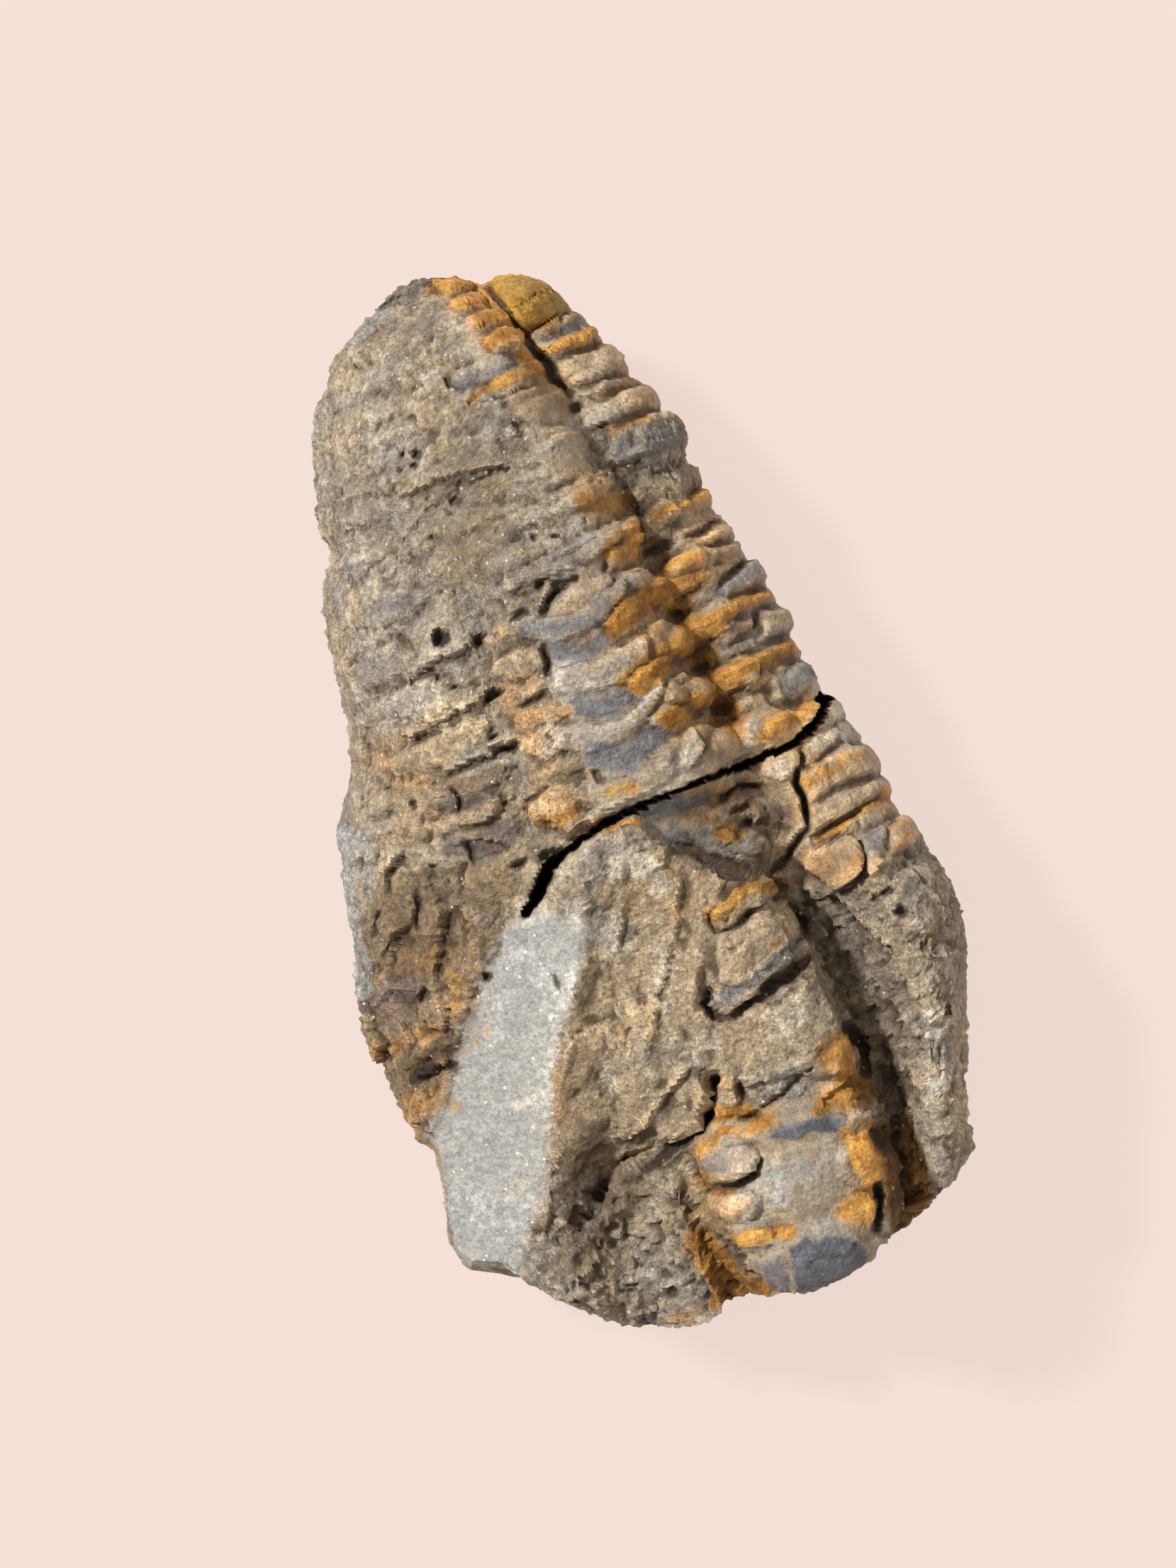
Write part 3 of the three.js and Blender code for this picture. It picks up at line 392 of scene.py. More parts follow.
    ([(-2.6, -33.5), (0.4, -31.8), (4.2, -32.4), (4.6, -33.3), (2, -33.6), (0, -33.1)], 0.3, 0.3,
      (0, 0), "orange", 0.8),
    ([(-2.7, -33.8), (-1.6, -33.2), (0.4, -33.5), (2.6, -34.2), (3.3, -35), (2.9, -36), (1.4, -36.9),
      (-0.8, -37), (-2.2, -36.2), (-2.8, -34.8)], 0.35, 0.4, (0, 0.05), "pale", 0.4),
    ([(-2.6, -38.3), (-1.4, -37.8), (0.8, -38), (1.6, -38.5), (0.6, -39.5), (-1, -39.8),
      (-2.4, -39.4)], 0.4, 0.4, (0, 0.1), "orange", 0.7),
    ([(-1.4, -38.8), (-0.6, -38.6), (-0.2, -39.8), (-1.2, -40)], 0, 0.3, (0, 0), "purple", 1),
    ([(-1.8, -41.6), (-0.6, -41), (3.8, -42.2), (3, -43), (0.6, -43.1), (-1.4, -42.6)], 0.5, 0.35,
      (0, 0.1), "orange", 1),
    ([(3.2, -33.8), (8.2, -33.5), (9.6, -33.8), (11, -34.8), (10.6, -35.6), (8, -34.6),
      (6.2, -35)], 0.2, 0.3, (0, 0), "slate", 1.6),
    ([(11.3, -33.6), (14.5, -33.4), (14.7, -35), (14, -36.4), (11.5, -35)], 0.5, 0.3, (0, 0), "pale", 0.6),
    ([(10.6, -36.4), (12.4, -36), (13.2, -37.6), (13, -39.4), (12, -41), (10.4, -41),
      (10.2, -38.6)], 0.5, 0.4, (-0.1, 0.1), "ochre", 1),
    ([(8.6, -42), (10.4, -41.2), (11.8, -41.4), (11.2, -43.4), (9.6, -44.6), (8.2, -43.8)], 0.3, 0.4,
      (0, 0), "ochre", 0.8),
    ([(4.2, -35.2), (7.6, -35), (9.8, -35.8), (9.8, -39), (8.4, -41.4), (4.4, -41.6),
      (2.6, -39.4)], 0.3, 0.6, (0, 0.02), "blue", 0.2),
    ([(2.4, -43.4), (4.4, -43), (5, -44), (7.2, -44.3), (9.4, -45.9), (8.4, -47.6), (4.6, -48.4),
      (1.6, -47.8)], 0.25, 0.25, (0, 0), "slate", 1.1),
    ([(-1.4, -43.6), (1, -44.2), (2.2, -43.6), (1.4, -47.4), (-0.4, -46.6)],
      0.2, 0.25, (0, 0), "slate", 0.7),
    ([(-5, -38.6), (-3.2, -39.4), (-1.6, -45.4), (0.6, -47.2), (-2, -47.6), (-6, -47.4),
      (-5, -44)], 0, 0.6, (0, 0), "amber", 1),
]
# Broken ledges: line, height and reach of the raised side, which is on the left going along the line
LEDGES = [
    ([(-4.4, -25), (-1.8, -20.6), (0.4, -17), (2.6, -13.6), (4.6, -9)], 0.5, 2.4),
    ([(-6.4, -26.6), (-5.8, -23), (-4.4, -20.4)], 0.3, 1.2),
    ([(-8.6, -30.2), (-5.4, -29.4), (-3.4, -27.7), (-0.2, -26)], 0.9, 2.4),
    ([(-12, 0.2), (-10.4, 0.5), (-8.6, 1.1)], 0.9, 1.6),
    ([(-12.8, 5.3), (-10.5, 5.8), (-8, 5.9), (-5.6, 6.1)], 0.9, 1.8),
    ([(-12.5, 9.9), (-9.8, 10.3), (-7.4, 10.6), (-5.5, 11)], 0.9, 2.2),
    ([(-15, 9.8), (-12.5, 9.5)], 0.5, 1.2),
    ([(-12.5, 14.3), (-10, 15.2), (-7, 15.6), (-5.2, 15.8)], 0.7, 1.8),
    ([(-16, 20), (-14, 21.4), (-12, 23)], 0.4, 1.6), ([(-16, 25.7), (-12.6, 25.2), (-9, 25.9)], 0.35, 1.8),
    ([(-9, 29.6), (-4, 30.2), (1.8, 29.6)], 0.6, 1.8), ([(-10, 34.4), (-6.5, 35), (-2.5, 34.6)], 0.35, 1.6),
    ([(-8, 39.4), (-3.2, 40.2), (1.5, 39.9)], 0.35, 1.6),
    ([(-3, 42.1), (-0.5, 42.5), (2.2, 43)], 0.35, 1.2), ([(0, 35.2), (3, 35.5), (6.5, 35.4)], 0.35, 0.9),
    ([(3.8, 39.2), (5.4, 39), (6.9, 39.5)], 0.5, 0.8), ([(-0.8, -2.2), (1.4, -1.9), (4.6, -1.6)], 0.3, 0.8),
    ([(-20.3, -2.6), (-19.5, -1), (-17.8, 0.1)], 0.6, 1.4),
    ([(-25.4, -12), (-22.6, -11), (-20.4, -12.4)], 0.5, 1.4), ([(-22.6, -8.4), (-20.2, -6.6)], 0.3, 0.9),
    ([(-19, -9), (-16.6, -6.4), (-14, -5.6)], 0.45, 1.6),
    ([(-24.6, -25), (-22, -22), (-20.8, -20.3), (-19.5, -17.5), (-17, -14.1), (-14.3, -11),
      (-11.2, -8.9)], 0.3, 1.8), ([(-24, -18.6), (-22.4, -19), (-20, -18.2)], 1.3, 1),
    ([(-9.5, -33.3), (-7, -32.7), (-5, -32.1), (-3, -31.6), (-1.5, -31), (-0.6, -30.4), (0, -29.5),
      (1.2, -27.9)], 1.4, 2.2), ([(0, -36.2), (1.8, -36.2), (3, -35.5)], 0.3, 0.8),
    ([(14, -15.4), (18.6, -15.4), (22, -14.6)], 0.7, 1.6),
    ([(17.3, -15.3), (19.6, -14.9), (19.8, -12.6), (19.6, -11.4)], 0.4, 0.8),
    ([(18.2, -32.4), (18.9, -30.4), (20, -28.6)], 0.4, 1),
    ([(9, -33.2), (11, -31.9), (13.6, -31.4)], 0.4, 1),
    ([(26.5, -24.2), (23, -23.6), (20.6, -21.8)], 0.5, 1.2),
]
# Narrow cracks: line, half width, depth
CRACKS = [
    ([(-2, -36.7), (0, -37.2), (1.4, -36.9), (2.6, -35.9)], 0.2, 1.3),
    ([(-7, -33.2), (-3.6, -32.2), (-1.4, -31.2), (-0.2, -30), (0.5, -28.6)], 0.32, 2.2),
    ([(4.5, 46.4), (4.9, 45.2), (5.5, 43.7), (6.1, 41.8), (6.6, 40.3)], 0.16, 1.1),
    ([(6.8, 39.4), (7, 38.2), (7.8, 36.8), (7.8, 35.4), (8.8, 33.6)], 0.28, 1.2),
    ([(3.6, -19.8), (2.5, -21.3), (3.3, -22.6), (4.2, -22.9)], 0.13, 1.4),
    ([(4.2, -22.9), (6.5, -22.1), (9, -21.5), (11, -20.8), (12.8, -20)], 0.16, 1.1),
    ([(12.6, -15.4), (13, -17), (12.7, -18.4)], 0.35, 2),
    ([(5.2, -14.4), (5.8, -15.7), (8, -15.4), (9.6, -14.6)], 0.12, 0.8),
    ([(11.6, -12.2), (12.2, -13.2), (12.3, -14.6)], 0.13, 1),
    ([(17, -4.4), (16.5, -5.3), (16.8, -6.8), (16.3, -9)], 0.17, 2.2),
    ([(16.3, -9.4), (14.8, -10.2), (13.6, -11.3), (12, -12)], 0.16, 1.5),
    ([(17.9, -2.3), (17.7, -3.3), (17.4, -4)], 0.12, 1),
    ([(16.4, -10.4), (18.5, -9.8), (21, -9.4)], 0.14, 0.9),
    ([(17.3, -15.3), (19.7, -14.9), (19.9, -12.4)], 0.16, 1.4),
    ([(4, -31.6), (6.4, -30.8), (8, -30), (9.5, -29.6)], 0.06, 0.7),
    ([(0.3, 16.2), (0.9, 16.9), (2, 17.5), (3.5, 18)], 0.16, 1.2),
    ([(-2.4, 16.5), (-0.9, 16.9)], 0.12, 0.8), ([(-0.7, 13.2), (-0.8, 12), (-1.1, 10.9)], 0.13, 1.2),
    ([(-12.2, 4), (-12, 3), (-12.5, 2)], 0.14, 1), ([(-12.6, -0.6), (-12.5, -1.7), (-12.6, -2.6)], 0.13, 1),
    ([(-20.3, -2.6), (-19.5, -1), (-17.8, 0.1)], 0.13, 0.8), ([(-22.5, -8), (-20.5, -6.3)], 0.16, 1),
    ([(-18.2, -3.4), (-18.6, -5), (-19.4, -6.4)], 0.12, 0.9), ([(-21.8, -4.2), (-22.8, -6)], 0.12, 0.8),
    ([(-20.6, -12.7), (-20, -11.8)], 0.16, 1.2), ([(-9.2, -14.4), (-9, -15.8)], 0.1, 0.6),
    ([(14, -26.9), (14.6, -29.2), (14.2, -31.6)], 0.35, 2.4),
    ([(11.7, -41.2), (11.2, -43), (10.4, -45)], 0.22, 2.4), ([(12.9, -36.8), (13.3, -38.4)], 0.4, 2.4),
    ([(0.3, -29.4), (1.3, -27.9)], 0.25, 1.8), ([(3, -28.2), (3.2, -30)], 0.14, 0.9),
    ([(2.6, -31.8), (4, -31.7)], 0.12, 0.9), ([(17.4, 8.9), (17.9, 9.9)], 0.12, 0.8),
    ([(16, 13.5), (17.5, 14.2), (19, 14.8)], 0.12, 0.8),
    ([(14.2, 18.3), (16.5, 18.6), (18, 18.9)], 0.14, 1), ([(18.2, 4), (19.3, 4.8)], 0.1, 0.6),
    ([(-5.6, 6), (-6.6, 5.9), (-7.6, 6.2)], 0.24, 1.4), ([(-4.2, 8.9), (-2.2, 9.4)], 0.13, 0.9),
    ([(0.2, 1.2), (0.3, 0.4)], 0.16, 0.9), ([(12.2, -1.7), (9.8, -1.6)], 0.12, 0.6),
    ([(10, -4.4), (11.4, -3.6), (13, -4.2)], 0.2, 1.2),
]
# Pits: middle, half sizes, depth
PITS = [
    (-8.7, 17, 0.65, 0.85, 2), (-5.7, 15.7, 0.8, 0.55, 1.8), (-6.3, 10.8, 0.85, 0.5, 1.8),
    (-7.4, 7.2, 0.5, 0.25, 1), (-6.2, 5.9, 0.9, 0.25, 1.4), (-5.6, 32.9, 0.35, 0.5, 1.2),
    (-6.7, 33.5, 0.4, 0.3, 1), (-6.2, 32.1, 0.4, 0.25, 0.9), (-7.5, 32.1, 0.3, 0.25, 0.8),
    (-6.8, 25.8, 0.35, 0.3, 1), (-3.8, 28.1, 0.6, 0.4, 1), (-1.1, 38.2, 0.25, 0.7, 1),
    (0.5, 35.7, 0.45, 0.15, 0.8), (3.4, 32.7, 0.2, 0.6, 0.9), (8.5, 42.6, 0.18, 0.18, 0.6),
    (8.7, 25.2, 0.14, 0.14, 0.5), (-10.2, 13.7, 0.2, 0.35, 0.8), (-12.4, 14.1, 0.25, 0.2, 0.8),
    (-9, 12.5, 0.35, 0.2, 0.8), (-13.5, 9.2, 0.6, 0.4, 0.9), (-16.2, 3.9, 0.3, 0.5, 0.9),
    (-5.9, -4.3, 1.2, 0.5, 1.6), (-8.8, -4.1, 0.8, 0.4, 1.2), (-14.9, -12.6, 0.45, 0.4, 1.6),
    (-5.9, 0.9, 0.7, 0.3, 1), (-8.4, 1.7, 0.3, 0.5, 0.9), (-18.4, -10.7, 0.2, 0.5, 0.7),
    (21, -17, 0.6, 0.4, 1.3), (21.6, -19, 0.5, 0.6, 1.3), (19.9, -17.2, 0.4, 0.4, 1),
    (22.7, -28.6, 0.35, 0.5, 1), (0.7, 18.4, 0.5, 0.4, 1), (2.3, 18.1, 0.5, 0.35, 1),
    (3.9, 18.1, 0.4, 0.3, 0.9), (6.9, 18.2, 0.2, 0.5, 0.7), (1.7, 22.7, 0.3, 0.25, 0.8),
    (3.6, 22.2, 0.4, 0.25, 0.8), (6.5, 22.7, 0.25, 0.2, 0.6), (11.2, 12.1, 0.7, 0.5, 0.8),
    (11.8, 7, 0.7, 0.5, 0.9), (12.4, 3, 0.9, 0.5, 0.8), (9.3, 6.3, 0.5, 0.25, 0.8),
    (10.5, 3.2, 0.3, 0.3, 0.7), (11.3, -7.1, 0.5, 0.4, 1.5), (11, -5.9, 0.9, 0.4, 1.2),
    (8.9, 32.4, 0.7, 0.5, 1), (10.6, 30, 0.6, 0.2, 0.6), (12, 18.2, 1.4, 0.4, 0.8),
    (-2.6, 5.6, 0.35, 0.25, 0.7), (-6.5, 0.3, 0.35, 0.3, 0.9), (-16.4, -1.8, 0.4, 0.2, 0.7),
    (14, -30.8, 0.3, 0.5, 1.4),
]

# ---------------------------------------------------------------- stains, painted highlight and painted shade: line, half width, strength
STAINS_AND_PAINTED_LIGHT = {
    # pale grey rock, with a painted highlight along the lit edges of the facet and the left flank
    "pale_grey_and_highlight": [
        ([(-5.8, -12), (-8, -15.2), (-10.6, -18.6), (-12.4, -22), (-13.8, -25.6)], 0.7, 0.5),
        ([(-22.4, 3), (-23.8, -1), (-25, -6), (-25.6, -10)], 1.3, 0.9), ([(-22, 0), (-20.6, 3)], 1, 0.5),
        ([(-17, -18), (-15, -16)], 2, 0.4), ([(5.8, 5.6), (8.4, 7)], 0.35, 0.9),
        ([(-12, -12), (-9, -16)], 1.6, 0.5), ([(-23, -31), (-20, -33)], 2, 0.5),
        ([(-8, 44), (-5, 46)], 1.2, 0.5), ([(3.4, -44.4), (5.4, -45.2), (7.4, -45.4)], 0.5, 0.6),
        ([(3, -37.4), (3.6, -39.6)], 0.8, 0.5),
    ],
    "ochre": [
        ([(11.4, 15.6), (11.8, 12), (12.4, 8), (13, 4), (12.6, 1)], 1.7, 0.8),
        ([(10.6, 21), (11, 18.6)], 1, 0.6), ([(0.8, 46.7), (3.2, 45.5)], 0.9, 1),
        ([(2.2, 44.3), (4.9, 43.4)], 0.7, 1), ([(2.8, 42.3), (5.8, 41.6)], 0.8, 1),
        ([(3.2, 40.5), (6.4, 39.7)], 0.8, 1), ([(5.8, 45), (7.4, 42.6), (9, 41.2)], 1.6, 0.9),
        ([(1, 36.4), (3, 36.5), (5.6, 36.8)], 0.7, 0.8), ([(6, 37.6), (7.4, 36.8)], 0.8, 0.8),
        ([(11.5, 32.5), (14.2, 32.9)], 0.3, 0.8), ([(11, 29.2), (13.6, 29.4)], 0.45, 0.8),
        ([(6.8, 24.1), (9.8, 23)], 1, 0.8), ([(7.5, 19.3), (10.3, 20)], 1, 0.9),
        ([(12.5, 20.7), (17.2, 21.3)], 0.6, 1), ([(12, 16.8), (14, 15.9)], 0.9, 0.7),
        ([(5.6, 12.8), (8, 14), (10.2, 15.2), (13.6, 14.4)], 1.1, 0.95),
        ([(5.7, 8.2), (8, 8.8), (11, 9.8), (14, 10)], 1, 0.95),
        ([(7, 3.8), (10, 4.3), (14, 4.7)], 0.9, 0.9), ([(12, 10.9), (15, 10.7), (19, 11.5)], 0.8, 0.85),
        ([(13, 5.7), (16, 5.8), (19.6, 6.2)], 0.8, 0.95), ([(15.6, -0.2), (20, 0.4)], 1, 0.75),
        ([(1.2, -0.8), (2.6, -1)], 0.7, 0.6), ([(-1.8, -3.5), (0.2, -3.9), (2.5, -4.2)], 0.5, 0.8),
        ([(-6, -1.4), (-3, -1.8)], 0.9, 0.7), ([(8.7, -7.6), (9.6, -7.9)], 0.7, 1),
        ([(17, -5.4), (23, -4.8)], 0.6, 0.6), ([(16.4, -10.7), (20, -10), (23.6, -9)], 0.6, 0.9),
        ([(15.8, -13.4), (17.5, -14.2), (19.4, -13.8)], 0.7, 0.5),
        ([(5.6, -13.6), (8, -12.9), (11.6, -13)], 0.9, 0.75),
        ([(1, -9.6), (5.5, -9.4), (3, -13)], 1.6, 0.35),
        ([(0.6, -30.6), (3, -31), (4.2, -32.2)], 0.8, 0.95),
        ([(-2.4, -33), (1, -32.4), (4, -32.8)], 0.6, 0.7),
        ([(-2.9, -34), (-2.6, -36.6), (-1, -37.4)], 0.5, 0.75),
        ([(11, -28.8), (13.6, -28.4), (12.8, -31)], 1.2, 0.8),
        ([(9.4, -32.9), (12, -31.8), (14, -32.6)], 0.8, 0.95), ([(11.6, -33.8), (14.6, -33.8)], 0.8, 0.6),
        ([(11, -36.2), (12, -37.4), (12.4, -39.4), (11, -40.8)], 0.8, 0.95),
        ([(-1.4, -41.6), (1, -42), (3, -42.3)], 0.9, 0.9), ([(8.8, -42.4), (10.8, -42)], 0.9, 0.9),
        ([(-5, -41), (-4, -44), (-1.6, -46.4)], 1.5, 0.9), ([(-10, -46.6), (-4, -46.6)], 0.6, 0.5),
        ([(12.6, -37), (13.8, -41), (13, -45)], 1.4, 0.9),
        ([(15.8, -37), (15.4, -40), (15, -44)], 0.8, 0.8), ([(-5.4, -20.6), (-6.6, -23)], 0.8, 0.4),
        ([(-12, -23), (-12.6, -26)], 0.9, 0.45), ([(-16.8, -16.8), (-18.8, -18)], 1.3, 0.4),
        ([(21.6, -22.2), (25, -23)], 0.6, 0.4), ([(-18, -12), (-16.6, -13.6), (-18.4, -14.8)], 1.2, 0.5),
        ([(-24.6, -21), (-22, -22)], 1.6, 0.5), ([(-25.6, -16), (-21, -15.2)], 1, 0.55),
        ([(-20.6, -9.4), (-18.4, -9.6)], 1.6, 0.45),
    ],
    "orange": [
        ([(-23.4, -15.4), (-21.6, -15.8)], 0.7, 0.7), ([(-24.4, -22.4), (-23.2, -20.8)], 0.6, 0.7),
        ([(-4.9, 11), (-2.2, 11.4)], 0.5, 0.8), ([(-4.8, 8.4), (-2.6, 7.6), (-0.6, 7.2)], 0.8, 0.9),
        ([(-5, 6.2), (-4.2, 5.4)], 0.9, 1), ([(-6.4, 0.4), (-5, -0.6), (-2.6, -0.2)], 1.3, 0.7),
        ([(-17.4, 8.4), (-16.2, 6.2), (-14.6, 5.8)], 0.9, 0.7), ([(-17, 4), (-14.6, 2)], 0.9, 0.5),
        ([(-15.6, 27.6), (-15, 22)], 0.5, 0.35), ([(14.9, 17.5), (16.2, 17.5)], 0.35, 1),
        ([(15.2, -11.8), (16.6, -12.8)], 0.7, 0.9), ([(10, -31.4), (13, -31.6)], 0.5, 0.9),
        ([(1, -28), (3, -28.4)], 0.4, 0.8), ([(1, -31), (2.6, -30.8)], 0.5, 1),
    ],
    "blue": [
        ([(-8, 44.8), (-3.6, 47.6), (0, 48.2)], 0.9, 0.45), ([(-4, -23.2), (-2.2, -24)], 1.5, 0.5),
        ([(-3.6, -17.4), (-2, -17.8)], 1.1, 0.35), ([(-2.6, -4.8), (-1.4, -5.6)], 1, 0.5),
        ([(0.4, 7.2), (2.8, 6.4), (5.2, 7.1)], 0.9, 1.1), ([(0.4, 2.7), (3, 1.5), (6, 2.7)], 1.1, 1.1),
        ([(0.2, 12.7), (2.6, 11.8), (5.4, 12.5)], 0.9, 0.75),
        ([(-1.6, 15.3), (1.4, 14.4), (4, 14.3), (6, 15.4), (8.2, 16.5)], 0.9, 0.65),
        ([(-1, 20), (4, 20.3), (6, 20.6)], 0.9, 0.5), ([(-0.6, 38), (4.4, 38.2)], 1, 0.5),
        ([(-1.4, 34), (2.6, 33.9)], 0.9, 0.4), ([(10.4, 39.1), (11.8, 39.4)], 0.5, 0.9),
        ([(11.6, 27.4), (13, 27), (16, 27.2)], 1, 0.6),
        ([(15.8, 12.8), (17.6, 13.2), (19.2, 13.9)], 0.8, 0.8),
        ([(14, 7.7), (17, 7.5), (19.6, 7.8)], 0.9, 0.5), ([(10.4, 7.9), (12.6, 8.2)], 0.5, 0.7),
        ([(11, 3.4), (13, 3.2)], 0.6, 0.7), ([(0.6, -3.3), (4, -3.4), (8.6, -3.7)], 0.75, 0.9),
        ([(9.8, -9), (11, -9.8)], 0.8, 0.7), ([(5.2, -6), (7, -8.6), (8.6, -10.8)], 0.9, 0.9),
        ([(3.6, -21.3), (6, -20.9), (9, -20.1), (12, -18.5)], 0.6, 0.9),
        ([(5.4, -33.8), (8, -34), (10.8, -34.5)], 0.75, 1), ([(-1.6, -34.6), (-0.4, -35.2)], 0.9, 0.6),
        ([(1, -45), (4.6, -44.6), (8.6, -45.6)], 1.7, 0.4), ([(-14.6, -0.2), (-12.6, -1.6)], 0.8, 0.5),
        ([(-10.6, -2.4), (-8.4, -0.8)], 0.9, 0.4), ([(20.4, -31.2), (21.4, -32.8)], 0.9, 0.5),
    ],
    "purple": [
        ([(-24.8, -13.4), (-22.6, -13.6)], 0.8, 0.6), ([(-15.6, -5), (-13.8, -5.4)], 0.9, 0.5),
        ([(-15, 3), (-12.8, 2.4), (-10.2, 2.2)], 0.7, 0.8), ([(-24.6, -11.4), (-21.6, -11.6)], 1.2, 0.9),
        ([(15.4, 9.8), (18.4, 9.6)], 0.8, 0.7), ([(12.6, -5.2), (14.6, -7.4)], 0.9, 0.6),
        ([(-6.8, 4.4), (-7.2, 3)], 0.8, 0.5), ([(16.4, -21), (18.6, -27), (17.6, -33)], 2.2, 0.45),
    ],
    "pale": [
        ([(-14.8, -7), (-13, -8)], 0.8, 0.4), ([(-15, 11.6), (-12, 12.6)], 1.8, 0.6),
        ([(-5, -10), (-3, -13)], 2, 0.7), ([(-3, -6), (1, -7)], 2, 0.7),
        ([(0.6, -16), (-0.6, -20)], 1.2, 0.5), ([(2, -24), (0, -26)], 1.6, 0.5),
        ([(8, -24.4), (11, -24)], 2, 0.45), ([(-6, -21), (-7.4, -25)], 0.9, 0.5),
        ([(-5, 37.2), (-4.4, 37.4)], 0.4, 1), ([(-3, 39.5), (-2, 39.4)], 0.5, 0.8),
        ([(-7.1, 37.4), (-6.8, 37.5)], 0.3, 0.8), ([(8.2, 31.2), (10.6, 31.4)], 0.9, 0.8),
        ([(3.4, 7.5), (4.2, 6.8), (5.6, 6.3)], 0.12, 1), ([(-3, 6.8), (-2.2, 7)], 0.35, 1),
        ([(0, -6.6), (1.6, -8), (2, -9.6)], 1.4, 0.8), ([(20.6, -0.4), (21.6, -1), (21.8, -3)], 0.5, 0.7),
        ([(20.8, -28.8), (20, -31.4)], 1, 0.8), ([(19.6, -34.6), (21.4, -33.6)], 0.9, 0.8),
        ([(17.4, -40), (18.8, -41.4), (16.6, -42.8)], 0.9, 0.5), ([(-18, -30.6), (-19, -31.6)], 0.7, 0.7),
        ([(-16, -24.4), (-14.6, -24)], 0.7, 0.6),
        ([(-0.6, 10), (2, 9.4), (4.6, 9.2), (7.2, 10.4)], 1.2, 0.5),
        ([(-2.6, 5.4), (0, 4.6), (3, 4.2), (5.8, 5.2)], 0.9, 0.4),
    ],
    # mostly painted shade: furrow pits, the eye's hollow, the valleys by the glabella and the hollow under a
    # ledge
    "dark": [
        ([(10.4, 18), (12.8, 18.2), (13.8, 19.4)], 0.6, 0.6),
        ([(5.6, -6.4), (7.6, -9.6), (9.4, -11.2)], 0.8, 0.7), ([(11.8, -8), (14, -9)], 0.9, 0.6),
        ([(14.2, -17), (15.8, -22), (16, -28), (15.6, -35)], 1.6, 0.45),
        ([(13.6, -37), (13.6, -41), (12.6, -45)], 1.2, 0.6), ([(-2.4, -42), (-1.6, -46)], 0.5, 0.6),
        ([(-24, -19), (-20.6, -18.6)], 0.5, 0.9), ([(-8, -4.2), (-6, -4)], 0.6, 0.6),
    ],
}
